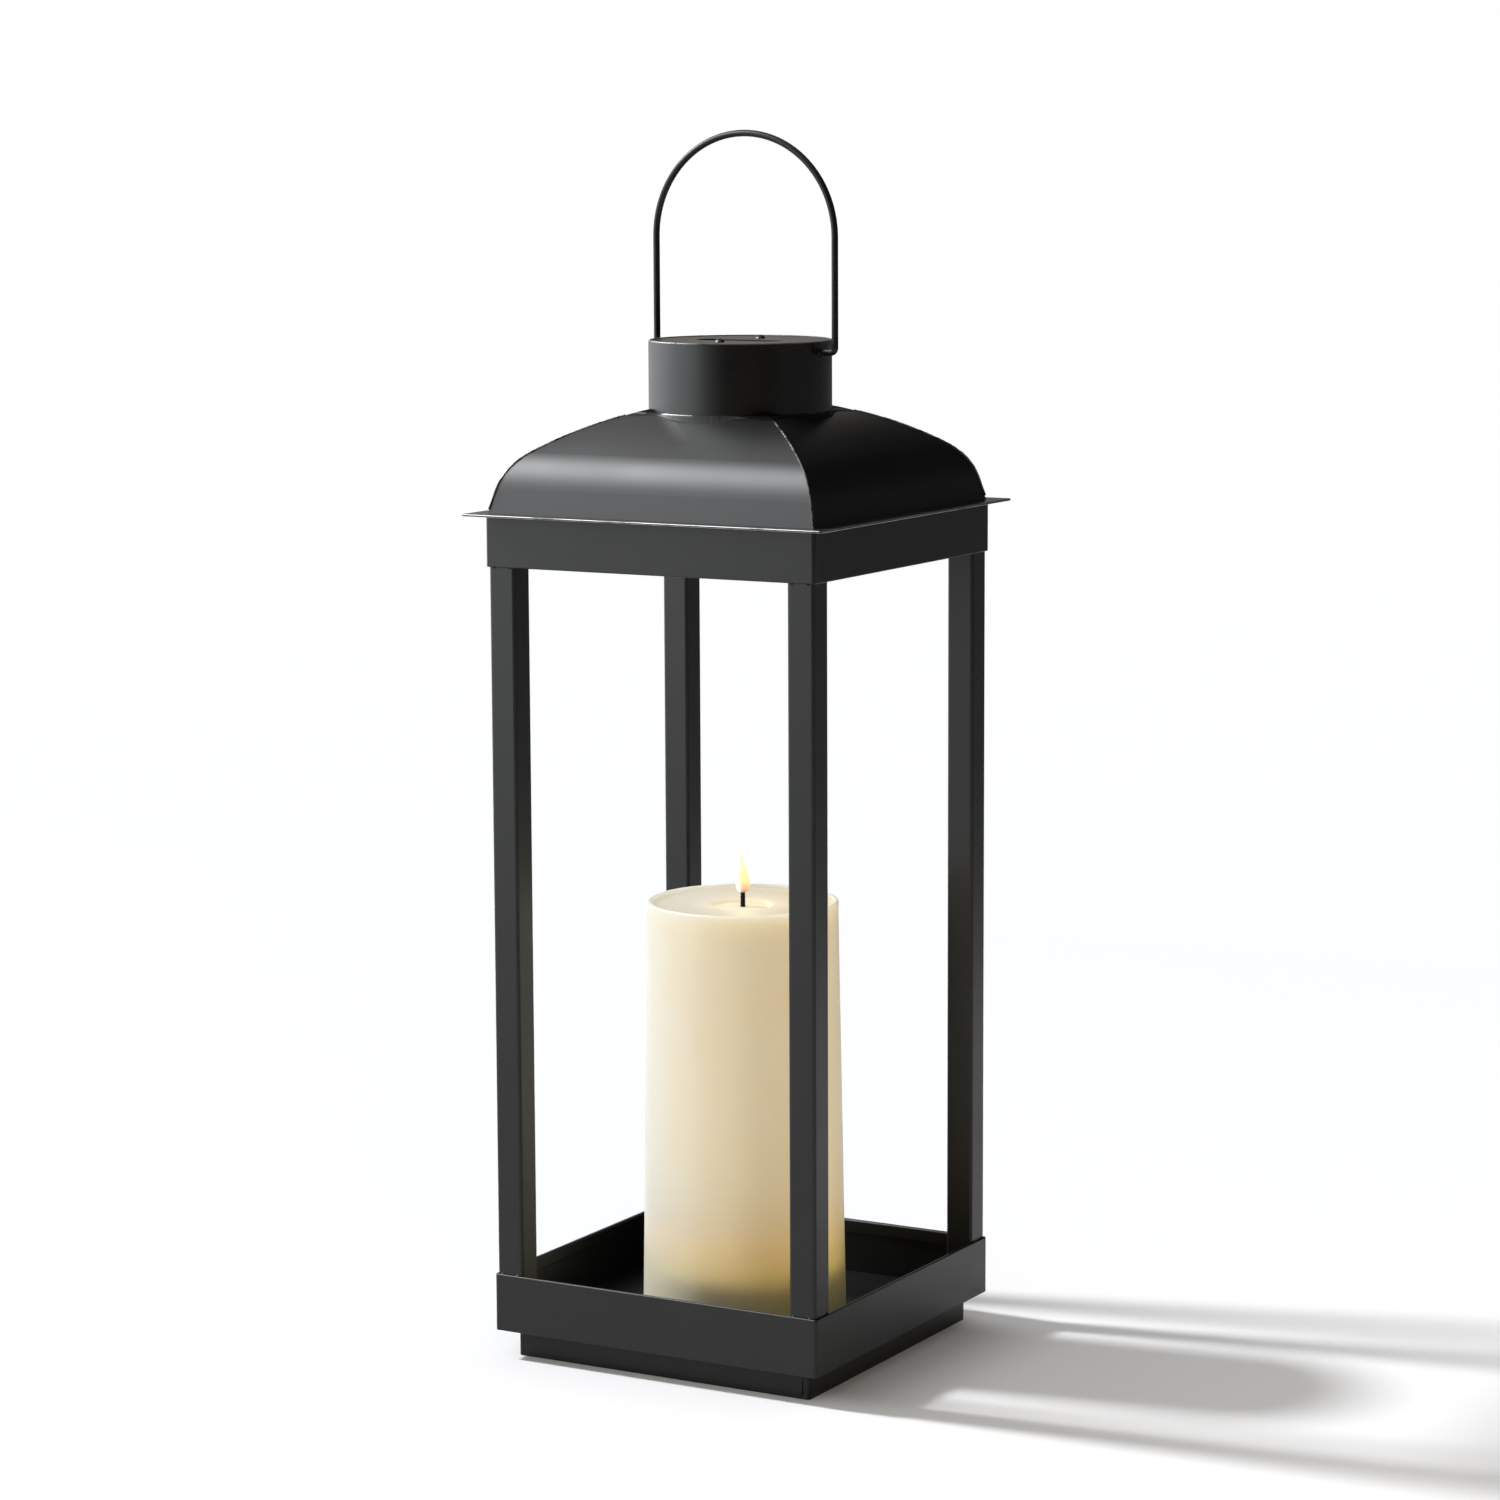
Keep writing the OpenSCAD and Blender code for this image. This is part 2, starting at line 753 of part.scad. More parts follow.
// Round board on the housing, with a tongue out to the switch
module circuit_board() {
    color(GREEN) on_tray() difference() {
        union() {
            translate([0, 0, board_z]) cylinder(r = board_r, h = board_t);
            translate([-tongue_w / 2, switch_y - switch_body_w / 2, board_z]) cube([tongue_w, -switch_y, board_t]);
        }
        at_tabs() box(contact_t + 2 * tab_gap, tab_w + 2 * tab_gap, board_z - past, board_t + 2 * past);
        translate([0, 0, board_z - past]) for (x = [-1, 1]) {
            translate([x * lead_pitch / 2, 0, 0]) cylinder(d = lead_d + 0.1, h = board_t + 2 * past, $fn = 16);
            translate([x * wire_pitch / 2, switch_y, 0]) {
                cylinder(d = switch_wire_d + 0.1, h = board_t + 2 * past, $fn = 16);
            }
        }
    }
}

// Cup over the cells: outer wall, lid, bay walls and screw bosses, open downwards
module battery_housing() {
    color(CREAM) on_tray() difference() {
        union() {
            translate([0, 0, plate_top]) pipe(housing_r, housing_in, bay_top - plate_top);
            translate([0, 0, bay_top]) cylinder(r = housing_r, h = housing_t);
            difference() {
                box(bay_l + 2 * bay_wall, bay_w + 2 * bay_wall, bay_floor, bay_top - bay_floor + housing_t / 2);
                box(bay_l, bay_w, bay_floor - past, bay_top - bay_floor + past);
            }
            translate([0, 0, plate_top]) around(base_screw_angles, base_screw_ring) {
                cylinder(r = boss_r, h = bay_top - plate_top + housing_t / 2, $fn = 32);
            }
        }
        translate([0, 0, plate_top - past]) around(base_screw_angles, base_screw_ring) {
            cylinder(d = base_screw_d + 0.1, h = base_screw_l + past, $fn = 32);
        }
        at_tabs() box(contact_t + 2 * tab_gap, tab_w + 2 * tab_gap, bay_top - past, housing_t + 2 * past);
        translate([0, 0, bay_top - past]) for (x = [-1, 1]) {
            translate([x * wire_pitch / 2, switch_y, 0]) {
                cylinder(d = switch_wire_d + 0.2, h = housing_t + 2 * past, $fn = 16);
            }
            translate([x * lead_pitch / 2, 0, 0]) cylinder(d = lead_d + 0.2, h = housing_t + 2 * past, $fn = 16);
        }
    }
}

// Round plate that closes the candle's foot, with the cover's hole, lug notches and switch slot
module base_plate() {
    slot_len = knob_l + switch_travel + 2 * cover_gap;
    color(CREAM) on_tray() difference() {
        union() {
            translate([0, 0, base_inset]) cylinder(r = plate_r, h = base_plate_t, $fn = 96);
            for (x = [-1, 1]) {
                translate([x * (switch_body_l - switch_rib) / 2, switch_y, 0]) {
                    box(switch_rib, switch_body_w, plate_top - 0.5, switch_body_z - plate_top + 0.5);
                }
            }
        }
        translate([0, 0, base_inset - past]) {
            cylinder(r = cover_r + cover_gap, h = base_plate_t + 2 * past, $fn = 96);
            for (a = lug_angles) {
                rotate([0, 0, a + unlock_angle]) {
                    sector(cover_r - 1, lug_r + cover_gap, lug_angle + 3, base_plate_t + 2 * past, $fn = 96);
                }
            }
            around(base_screw_angles, base_screw_ring) {
                cylinder(d = base_screw_d + 0.2, h = base_plate_t + 2 * past, $fn = 32);
                cylinder(d = 2 * base_screw_d + 0.4, h = past + base_screw_head_h, $fn = 32);
            }
        }
        translate([-slot_len / 2, switch_y - knob_w / 2 - cover_gap, base_inset - past]) {
            cube([slot_len, knob_w + 2 * cover_gap, base_plate_t + 2 * past]);
        }
    }
}

// Bayonet lug: a foot that rises from the cover and turns out over the base plate
module cover_lug() {
    lug_z = plate_top + lug_gap;
    rotate_extrude(angle = lug_angle, $fn = 96) polygon([
        [cover_r - lug_foot, base_inset + cover_t / 2],
        [cover_r - lug_inset, base_inset + cover_t / 2],
        [cover_r - lug_inset, lug_z],
        [lug_r, lug_z],
        [lug_r, lug_z + lug_h],
        [cover_r - lug_foot, lug_z + lug_h]
    ]);
}

// Twist-off cover: a disc with three lugs behind the base plate, two cell ribs and a coin slot
module battery_cover() {
    color(CREAM) on_tray() difference() {
        union() {
            translate([0, 0, base_inset]) cylinder(r = cover_r, h = cover_t, $fn = 96);
            for (a = lug_angles) {
                rotate([0, 0, a - lug_angle / 2]) cover_lug();
            }
            for (x = [-1, 1]) {
                translate([x * cell_l / 4, 0, 0]) {
                    box(bay_wall, bay_w - 6, base_inset + cover_t / 2, cover_t / 2 + lug_gap + lug_h - rib_gap);
                }
            }
        }
        translate([0, 0, base_inset - past]) linear_extrude(height = past + cover_t / 2) slot_outline(coin_slot_l, coin_slot_w);
    }
}

// Sliding knob of the switch: a thumb bar, a flange inside the plate and a stem up into the switch
module switch_knob() {
    color("#3a3a3a") on_tray() translate([switch_travel / 2, switch_y, 0]) {
        box(knob_l, knob_w, base_inset - knob_drop, plate_top + knob_gap + knob_drop - base_inset + knob_flange_t / 2);
        box(knob_l + 2 * knob_flange, knob_w + 2 * knob_flange, plate_top + knob_gap, knob_flange_t);
        box(stem_l, stem_w, plate_top + knob_gap, knob_flange_t + knob_gap + stem_h);
    }
}

// Housing of the slide switch, with a slot for the knob's stem
module switch_body() {
    stem_slot = stem_l + switch_travel + 2 * cover_gap;
    color("#2e2e30") on_tray() translate([0, switch_y, 0]) difference() {
        box(switch_body_l, switch_body_w, switch_body_z, switch_body_h);
        box(stem_slot, stem_w + 2 * cover_gap, switch_body_z - past, past + stem_h + cover_gap);
    }
}

// Two short wires from the switch up to the board's tongue
module switch_wires() {
    wire_z = switch_body_z + switch_body_h;
    color("#b03a2e") on_tray() for (x = [-1, 1]) {
        translate([x * wire_pitch / 2, switch_y, wire_z]) {
            cylinder(d = switch_wire_d, h = board_z + board_t - wire_z, $fn = 16);
        }
    }
}

// Battery cell lying along X with its terminal towards -X, or towards +X when turned
module cell(turn) {
    rotate([0, 0, turn]) translate([-bay_l / 2 + contact_t, 0, cell_axis]) rotate([0, 90, 0]) {
        cylinder(d = cell_d * 0.38, h = 2, $fn = 32);
        translate([0, 0, 1]) cylinder(d = cell_d, h = cell_l - 1, $fn = 48);
    }
}

module battery_front() {
    color("#6d7278") on_tray() translate([0, -cell_pitch / 2, 0]) cell(0);
}

module battery_back() {
    color("#6d7278") on_tray() translate([0, cell_pitch / 2, 0]) cell(180);
}

// Cone-shaped coil spring along +X, wide end at the contact
module contact_spring() {
    wire = 0.7;
    turns = 3;
    steps = 20 * turns;
    sides = 6;
    narrow = cell_d * 0.18;
    wide = cell_d * 0.3;
    end_gap = 0.1;
    run = spring_l - wire - 2 * end_gap;
    points = [
        for (i = [0 : steps]) for (j = [0 : sides - 1])
            let (t = i / steps, a = 360 * turns * t, b = 360 * j / sides, r = narrow + (wide - narrow) * t)
            [
                wire / 2 + end_gap + run * t + wire / 2 * sin(b),
                (r + wire / 2 * cos(b)) * cos(a),
                (r + wire / 2 * cos(b)) * sin(a)
            ]
    ];
    walls = [
        for (i = [0 : steps - 1]) for (j = [0 : sides - 1])
            let (k = (j + 1) % sides)
            [i * sides + j, i * sides + k, (i + 1) * sides + k, (i + 1) * sides + j]
    ];
    ends = [
        [for (j = [sides - 1 : -1 : 0]) j],
        [for (j = [0 : sides - 1]) steps * sides + j]
    ];
    polyhedron(points = points, faces = concat(walls, ends));
}

module contact_spring_front() {
    color(STEEL) on_tray() translate([bay_l / 2 - contact_t - spring_l, -cell_pitch / 2, cell_axis]) {
        contact_spring();
    }
}

module contact_spring_back() {
    color(STEEL) on_tray() rotate([0, 0, 180]) {
        translate([bay_l / 2 - contact_t - spring_l, -cell_pitch / 2, cell_axis]) contact_spring();
    }
}

// Contact plate against one end wall of the bay, with a solder tab up to the board
module contact(x, y, w, tab_y) {
    color(BRASS) on_tray() {
        translate([x * (bay_l - contact_t) / 2, y, 0]) {
            box(contact_t, w, cell_axis - cell_d * 0.35, bay_top - cell_axis + cell_d * 0.35);
        }
        translate([x * (bay_l - contact_t) / 2, tab_y, 0]) {
            box(contact_t, tab_w, cell_axis, board_z + board_t - cell_axis);
        }
    }
}

module contact_bridge() { contact(-1, 0, cell_pitch + cell_d * 0.7, cell_pitch / 2); }
module contact_minus() { contact(1, -cell_pitch / 2, cell_d * 0.7, -cell_pitch / 2); }
module contact_plus() { contact(1, cell_pitch / 2, cell_d * 0.7, cell_pitch / 2); }

// Four countersunk screws up through the base plate into the housing's bosses
module base_screws() {
    color(STEEL) on_tray() around(base_screw_angles, base_screw_ring) {
        translate([0, 0, base_inset + 0.1]) {
            difference() {
                cylinder(d = 2 * base_screw_d, h = base_screw_head_h - 0.1, $fn = 32);
                box(base_screw_d * 1.5, 0.5, -past, past + 0.5);
                box(0.5, base_screw_d * 1.5, -past, past + 0.5);
            }
            cylinder(d = base_screw_d, h = base_screw_l, $fn = 32);
        }
    }
}

plinth();
tray_floor();
base_band();
post_front_left();
post_front_right();
post_back_right();
post_back_left();
upper_band();
eave_plate();
roof_front();
roof_right();
roof_back();
roof_left();
collar();
cap_disc();
cap_screws();
baffle_spacers();
vent_baffle();
cap_nuts();
handle();
wax_shell();
flame_lens();
flame_led();
wick();
led_leads();
lamp_tower();
circuit_board();
battery_housing();
base_plate();
battery_cover();
switch_knob();
switch_body();
switch_wires();
battery_front();
battery_back();
contact_spring_front();
contact_spring_back();
contact_bridge();
contact_plus();
contact_minus();
base_screws();
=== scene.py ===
# %% [markdown]
# # A candle lantern, dressed over its frame
# A black sheet-metal lantern stands on a pale floor with a battery candle in its tray. The
# construction arrives finished: every sheet, post, screw and cell has its size and its place. This
# lesson adds what makes it look real: soft metal edges, weld beads, wax that glows, and finishes
# that change a little over each surface. Nothing is moved or resized on the way.

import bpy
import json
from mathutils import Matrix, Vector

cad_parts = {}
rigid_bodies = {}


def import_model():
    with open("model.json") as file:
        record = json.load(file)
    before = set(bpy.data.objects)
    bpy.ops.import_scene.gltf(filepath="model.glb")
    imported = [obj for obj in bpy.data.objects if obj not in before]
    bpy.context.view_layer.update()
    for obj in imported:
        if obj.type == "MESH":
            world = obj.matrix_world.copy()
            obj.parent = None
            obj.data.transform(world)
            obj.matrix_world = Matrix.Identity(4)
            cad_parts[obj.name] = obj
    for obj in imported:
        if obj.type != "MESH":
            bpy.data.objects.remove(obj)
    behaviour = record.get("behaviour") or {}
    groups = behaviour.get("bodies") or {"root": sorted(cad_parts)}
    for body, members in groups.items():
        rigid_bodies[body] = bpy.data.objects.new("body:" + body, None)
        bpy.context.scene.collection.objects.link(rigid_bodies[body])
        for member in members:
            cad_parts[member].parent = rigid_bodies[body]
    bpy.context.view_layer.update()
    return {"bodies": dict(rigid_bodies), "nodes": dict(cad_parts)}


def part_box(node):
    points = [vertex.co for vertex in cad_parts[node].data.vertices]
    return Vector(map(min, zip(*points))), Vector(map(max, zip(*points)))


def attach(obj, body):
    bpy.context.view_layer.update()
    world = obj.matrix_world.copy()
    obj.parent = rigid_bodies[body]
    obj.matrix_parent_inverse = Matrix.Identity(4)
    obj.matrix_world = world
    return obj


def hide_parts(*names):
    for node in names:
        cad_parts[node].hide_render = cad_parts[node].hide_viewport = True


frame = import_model()
nodes = frame["nodes"]

# %% [markdown]
# ## Tools for the bench
# Everything is in metres, with Z up. A real workshop thinks in millimetres, so sizes here are
# written as a number times MM. New pieces are drawn with bmesh, Blender's mesh editor for code: we
# make points, join them with faces, and hand the result to an object. Geometry made this way shows
# every step, and it gives the same mesh each time the script runs.

# %% Units and imports
import json
import random
from math import atan2, cos, exp, hypot, pi, radians, sin

import bmesh
import bpy
from mathutils import Matrix, Vector, noise
from mathutils.bvhtree import BVHTree

MM = 0.001
UP = Vector((0, 0, 1))
CORNERS = ((1, -1), (1, 1), (-1, 1), (-1, -1))
POSTS = ("post_front_left", "post_front_right", "post_back_right", "post_back_left")
ROOF_PANELS = ("roof_front", "roof_right", "roof_back", "roof_left")
scene = bpy.context.scene
chance = random.Random(11)
print("one millimetre is", MM, "m")

# %% [markdown]
# A piece needs the same few things each time: a mesh object, smooth shading that still breaks at
# hard corners, a finish, and the body it moves with. One helper does all of that, so that no piece
# is left without a body. Most forms here are rows of rings, as in a basket: the wax, a weld bead,
# the flame. So a second helper joins each ring to the next one, and may close both ends.

# %% Helpers that make a piece
SHARP_ANGLE = radians(40)


def new_object(name, data):
    """Put a new object into the scene."""
    made = bpy.data.objects.new(name, data)
    scene.collection.objects.link(made)
    return made


def new_mesh(name, bm, material):
    """Turn a finished bmesh into an object with one material."""
    mesh = bpy.data.meshes.new(name)
    bm.to_mesh(mesh)
    bm.free()
    mesh.materials.append(material)
    return new_object(name, mesh)


def add_piece(name, bm, body, finish, stands_for=()):
    """Hand a finished bmesh to a new object that rides on a body."""
    bmesh.ops.recalc_face_normals(bm, faces=bm.faces)
    for face in bm.faces:
        face.smooth = True
    for edge in bm.edges:
        if len(edge.link_faces) == 2 and edge.calc_face_angle(0) > SHARP_ANGLE:
            edge.smooth = False
    piece = new_mesh(name, bm, finish.material)
    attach(piece, body)
    if stands_for:
        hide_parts(*stands_for)
    print(f"{name}: {len(piece.data.polygons)} faces on {body}")


def turns(count):
    """The angles of one full turn in equal steps."""
    return [2 * pi * i / count for i in range(count)]


def join_rings(bm, rings, wrap=True, closed=False, capped=False):
    """Skin a row of rings with four-sided faces. A closed row ends where it began."""
    count, sides = len(rings), len(rings[0])
    for i in range(count if closed else count - 1):
        low, high = rings[i], rings[(i + 1) % count]
        for j in range(sides if wrap else sides - 1):
            k = (j + 1) % sides
            bm.faces.new((low[j], low[k], high[k], high[j]))
    if capped:
        bm.faces.new(list(reversed(rings[0])))
        bm.faces.new(rings[-1])


print("helpers: new_object, new_mesh, add_piece, turns, join_rings")

# %% [markdown]
# ## Camera
# The lantern is seen a little from its right, with its near post almost in the middle, from just
# above its own height and from a good two metres away. A long lens keeps the uprights straight. The
# camera is turned and tilted by three small angles, and its shift stays at zero, so that the same
# camera can also travel round the object.

# %% Place the camera
VIEW_TURN = radians(29.662)
VIEW_DISTANCE, VIEW_HEIGHT = 2264.58 * MM, 638.39 * MM
VIEW_PAN, VIEW_TILT, VIEW_ROLL = radians(-0.103), radians(8.177), radians(-0.263)
FOCAL_PIXELS, FRAME_PIXELS = 4416.82, 1500
SENSOR = 36.0


def beside_lantern(turn, distance, height):
    """A place round the lantern. The turn starts at its front and runs to the right."""
    return Vector((distance * sin(turn), -distance * cos(turn), height))


camera_data = bpy.data.cameras.new("lantern_camera")
camera_data.sensor_width = SENSOR
camera_data.lens = SENSOR * FOCAL_PIXELS / FRAME_PIXELS
camera_data.clip_start = 0.1
camera_data.clip_end = 60
camera = new_object("lantern_camera", camera_data)
camera.matrix_world = (
    Matrix.Translation(beside_lantern(VIEW_TURN, VIEW_DISTANCE, VIEW_HEIGHT))
    @ Matrix.Rotation(VIEW_TURN + VIEW_PAN, 4, "Z")
    @ Matrix.Rotation(pi / 2 - VIEW_TILT, 4, "X")
    @ Matrix.Rotation(VIEW_ROLL, 4, "Z")
)
scene.camera = camera
scene.view_settings.view_transform = "Standard"
print(f"lens {camera_data.lens:.2f} mm on a {SENSOR:.0f} mm sensor")

# %% [markdown]
# ## Writing shader nodes in code
# A finish is a small graph of nodes. The class below holds one graph and gives it short commands:
# put adds a node and sets its sockets, and the others add the nodes that are used most and hand
# back what comes out. So a line such as coat.times(a, b) reads like the sum that it stands for.

# %% Node commands
def sum_node(operation):
    """A command that adds one Math node."""

    def command(graph, first, second=0.0, third=0.0, clamp=False):
        values = {0: first, 1: second, 2: third}
        return graph.put("Math", values, operation=operation, use_clamp=clamp).outputs[0]

    return command


class Graph:
    """A node tree with short commands."""

    times, over, plus, minus = map(sum_node, ("MULTIPLY", "DIVIDE", "ADD", "SUBTRACT"))
    larger, size_of, below, scaled = map(sum_node, ("MAXIMUM", "ABSOLUTE", "LESS_THAN", "MULTIPLY_ADD"))

    def __init__(self, tree):
        self.tree = tree

    def set(self, socket, value):
        """Link a socket to another one, or give it a plain value."""
        if isinstance(value, bpy.types.NodeSocket):
            self.tree.links.new(value, socket)
        elif socket.type == "RGBA" and len(value) == 3:
            socket.default_value = (*value, 1.0)
        else:
            socket.default_value = value

    def put(self, kind, values=None, **settings):
        """Add a node, set its options, then its input sockets by name or number."""
        node = self.tree.nodes.new("ShaderNode" + kind)
        for label, value in settings.items():
            setattr(node, label, value)
        for label, value in (values or {}).items():
            self.set(node.inputs[label], value)
        return node

    def place(self, effect, **values):
        """Put an effect into this graph with its own numbers."""
        values = {label.replace("_", " "): value for label, value in values.items()}
        results = self.put("Group", values, node_tree=effect.tree).outputs
        return results[0] if len(results) == 1 else results

    def spot(self):
        """Where a point of the surface lies on its object, in metres."""
        return self.put("TexCoord").outputs["Object"]

    def axes(self, vector=None):
        """The X, Y and Z of a vector, or of the spot."""
        return self.put("SeparateXYZ", {0: vector or self.spot()}).outputs

    def dot(self, first, second):
        """How far one vector runs along another."""
        return self.put("VectorMath", {0: first, 1: second}, operation="DOT_PRODUCT").outputs["Value"]

    def remap(self, value, low, high, to_low=0.0, to_high=1.0, shape="SMOOTHSTEP"):
        """Stretch the part of a value between low and high over a new range."""
        values = {"Value": value, "From Min": low, "From Max": high, "To Min": to_low, "To Max": to_high}
        return self.put("MapRange", values, interpolation_type=shape).outputs[0]

    def noise(self, scale, detail=2.0, roughness=0.5, vector=None):
        """Noise with a number of grains to the metre."""
        values = {"Vector": vector or self.spot(), "Scale": scale, "Detail": detail, "Roughness": roughness}
        return self.put("TexNoise", values).outputs[0]

    def blend(self, mask, first, second):
        """Mix from the first colour to the second by a mask."""
        return self.put("Mix", {0: mask, 6: first, 7: second}, data_type="RGBA").outputs[2]


print("commands:", ", ".join(label for label in vars(Graph) if not label.startswith("_")))

# %% [markdown]
# Grain, waves, scratches, wear and dust are used by many finishes. Each becomes a node group that
# is built once and placed with its own numbers, so a better scratch is better everywhere. A group
# is a graph too, with named inputs and outputs.

# %% Helpers for an effect
class Effect(Graph):
    """A node group. Each input's default tells whether it is a number or a vector."""

    def __init__(self, name, **inputs):
        super().__init__(bpy.data.node_groups.new(name, "ShaderNodeTree"))
        for label, default in inputs.items():
            kind = "NodeSocketVector" if isinstance(default, tuple) else "NodeSocketFloat"
            label = label.replace("_", " ")
            socket = self.tree.interface.new_socket(label, in_out="INPUT", socket_type=kind)
            socket.default_value = default
        self.given = self.tree.nodes.new("NodeGroupInput").outputs

    def per_metre(self, label):
        """How many things of a given size in millimetres fit in a metre."""
        return self.over(1000.0, self.given[label])

    def gives(self, **results):
        """Name what the group puts out."""
        for label in results:
            self.tree.interface.new_socket(label, in_out="OUTPUT", socket_type="NodeSocketFloat")
        ways_out = self.tree.nodes.new("NodeGroupOutput").inputs
        for label, value in results.items():
            self.set(ways_out[label], value)
        print("group:", self.tree.name, "gives", *results)


print("effects start with a name and named inputs")

# %% [markdown]
# ## Effect: powder coat grain
# Powder coat is sprayed on dry and melts in an oven. It flows into soft low bumps, called orange
# peel, and a fine tooth remains on top. Two noises of different size, measured in metres of height,
# give both. Height in real units means that every finish gets the same bumps on a small screw and
# on a long post.

# %% Powder coat grain
TOOTH_FINE = 2600.0
coat_grain = Effect("powder_coat_grain", Peel_Size=2.2, Peel_Height=0.004, Tooth_Height=0.0012)
peel = coat_grain.noise(coat_grain.per_metre("Peel Size"), 1.0)
tooth = coat_grain.noise(TOOTH_FINE)
peel = coat_grain.times(peel, coat_grain.given["Peel Height"])
tooth = coat_grain.times(tooth, coat_grain.given["Tooth Height"])
coat_grain.gives(Height=coat_grain.times(coat_grain.plus(peel, tooth), MM))

# %% [markdown]
# ## Effect: sheet waves
# Thin sheet is never quite flat. Rolling, bending and the heat of a weld leave shallow waves a few
# centimetres long, and a long highlight bends as it crosses them. The waves are far too shallow to
# model, a few hundredths of a millimetre, but a bump of that height is just what light shows.

# %% Sheet waves
waves = Effect("sheet_waves", Length=45.0, Height=0.02)
wave = waves.noise(waves.per_metre("Length"), 1.0)
wave = waves.times(wave, waves.given["Height"])
waves.gives(Height=waves.times(wave, MM))

# %% [markdown]
# ## Effect: clouds
# Handling, wiping and uneven curing change how glossy a coat is from place to place. Large soft
# clouds with a little fine break-up are enough. The group puts out a value round the middle of 0
# to 1, and each finish decides how much its roughness or colour follows it.

# %% Clouds
clouds = Effect("handling_clouds", Size=60.0, Break_Up=0.5)
cloud = clouds.noise(clouds.per_metre("Size"), 5.0, clouds.given["Break Up"])
clouds.gives(Value=clouds.remap(cloud, 0.25, 0.75))

# %% [markdown]
# ## Effect: edge wear
# Coating pulls thin over a sharp edge and polishes there first. The Bevel node gives the surface
# normal as if the edge were round. Where that differs from the true normal there is an edge, and a
# noise breaks the line into patches, so the wear comes and goes instead of tracing every corner.

# %% Edge wear
edge_wear = Effect("edge_wear", Width=0.6, Patch_Size=9.0, Cover=0.5)
true_normal = edge_wear.put("NewGeometry").outputs["Normal"]
edge_width = edge_wear.times(edge_wear.given["Width"], MM)
round_normal = edge_wear.put("Bevel", {"Radius": edge_width}, samples=4).outputs[0]
at_edge = edge_wear.remap(edge_wear.dot(round_normal, true_normal), 0.985, 0.86)
patch = edge_wear.noise(edge_wear.per_metre("Patch Size"), 4.0, 0.65)
worn_from = edge_wear.minus(0.75, edge_wear.times(edge_wear.given["Cover"], 0.5))
in_patch = edge_wear.remap(patch, worn_from, edge_wear.plus(worn_from, 0.12), shape="LINEAR")
edge_wear.gives(Mask=edge_wear.times(at_edge, in_patch))

# %% [markdown]
# ## Effect: fine scratches
# A few hairline scratches cross any coat that has been handled. A noise that is stretched far along
# one axis gives thin parallel streaks, and keeping only its very top leaves a sparse handful. The
# finish turns the streaks with the Turn input, so they can run round a collar or down a post.

# %% Fine scratches
STREAK = (9.0, 900.0, 900.0)
scratches = Effect("fine_scratches", Turn=(0.0, 0.0, 0.0), Amount=0.3)
stretch = {"Vector": scratches.spot(), "Rotation": scratches.given["Turn"], "Scale": STREAK}
streaks = scratches.noise(1.0, vector=scratches.put("Mapping", stretch).outputs[0])
top_from = scratches.minus(0.80, scratches.times(scratches.given["Amount"], 0.2))
scratches.gives(Mask=scratches.remap(streaks, top_from, scratches.plus(top_from, 0.05), shape="LINEAR"))

# %% [markdown]
# ## Effect: settled dust
# Dust lies on what faces up and thins out on what faces sideways. The upward part of the normal
# gives that, and a fine noise makes the film uneven. Only a trace is wanted on a clean lantern, so
# the mask is used at low strength: a little paler and a little rougher.

# %% Settled dust
dust = Effect("settled_dust", Grain_Size=1.5)
facing_up = dust.axes(dust.put("NewGeometry").outputs["Normal"])["Z"]
film = dust.noise(dust.per_metre("Grain Size"), 6.0, 0.7)
dust.gives(Mask=dust.times(dust.remap(facing_up, 0.2, 1.0), dust.remap(film, 0.35, 0.75)))

# %% [markdown]
# ## Effect: moulded skin
# Plastic parts copy the skin of their steel mould, which is etched to a fine even texture so that
# flow marks don't show. Small cells of a Voronoi pattern, softened by a noise, stand for the etched
# pits. The same pattern, read as a mask, makes the pits a little less glossy than the lands.

# %% Moulded skin
ETCH_SOFT = 700.0
skin = Effect("moulded_skin", Pit_Size=0.35, Depth=0.006)
etched = {"Vector": skin.spot(), "Scale": skin.per_metre("Pit Size")}
etched = skin.put("TexVoronoi", etched).outputs["Distance"]
pits = skin.times(etched, skin.noise(ETCH_SOFT))
depth = skin.times(pits, skin.given["Depth"])
skin.gives(Height=skin.times(depth, MM), Pits=skin.remap(pits, 0.1, 0.5))

# %% [markdown]
# ## Starting a finish
# Every finish begins with a Principled BSDF. Numbers that hold for the whole surface are set on the
# shader's own sockets. What changes over the surface comes through links: a blend of two colours by
# a mask, a roughness that follows the clouds, and heights that are added up and turned into one
# normal by a Bump node. Heights are in metres, so the Bump distance stays at 1.

# %% Helpers for a finish
class Finish(Graph):
    """A new material: its graph, and the Principled BSDF that it feeds."""

    def __init__(self, name, **sockets):
        self.material = bpy.data.materials.new(name)
        self.material.use_nodes = True
        super().__init__(self.material.node_tree)
        self.shader = self.tree.nodes["Principled BSDF"]
        self.feed(**sockets)
        print("finish:", name)

    def feed(self, **sockets):
        """Set the shader's sockets, with plain values or with links."""
        for label, value in sockets.items():
            self.set(self.shader.inputs[label.replace("_", " ")], value)

    def raise_surface(self, *heights):
        """Add heights in metres and feed them to the shader's normal."""
        total = heights[0]
        for height in heights[1:]:
            total = self.plus(total, height)
        self.feed(Normal=self.put("Bump", {"Height": total, "Distance": 1.0, "Strength": 1.0}).outputs[0])

    def dress(self, *names):
        """Give this finish to construction pieces."""
        for name in names:
            nodes[name].material_slots[0].material = self.material


print("a finish can feed its shader, raise its surface and dress pieces")

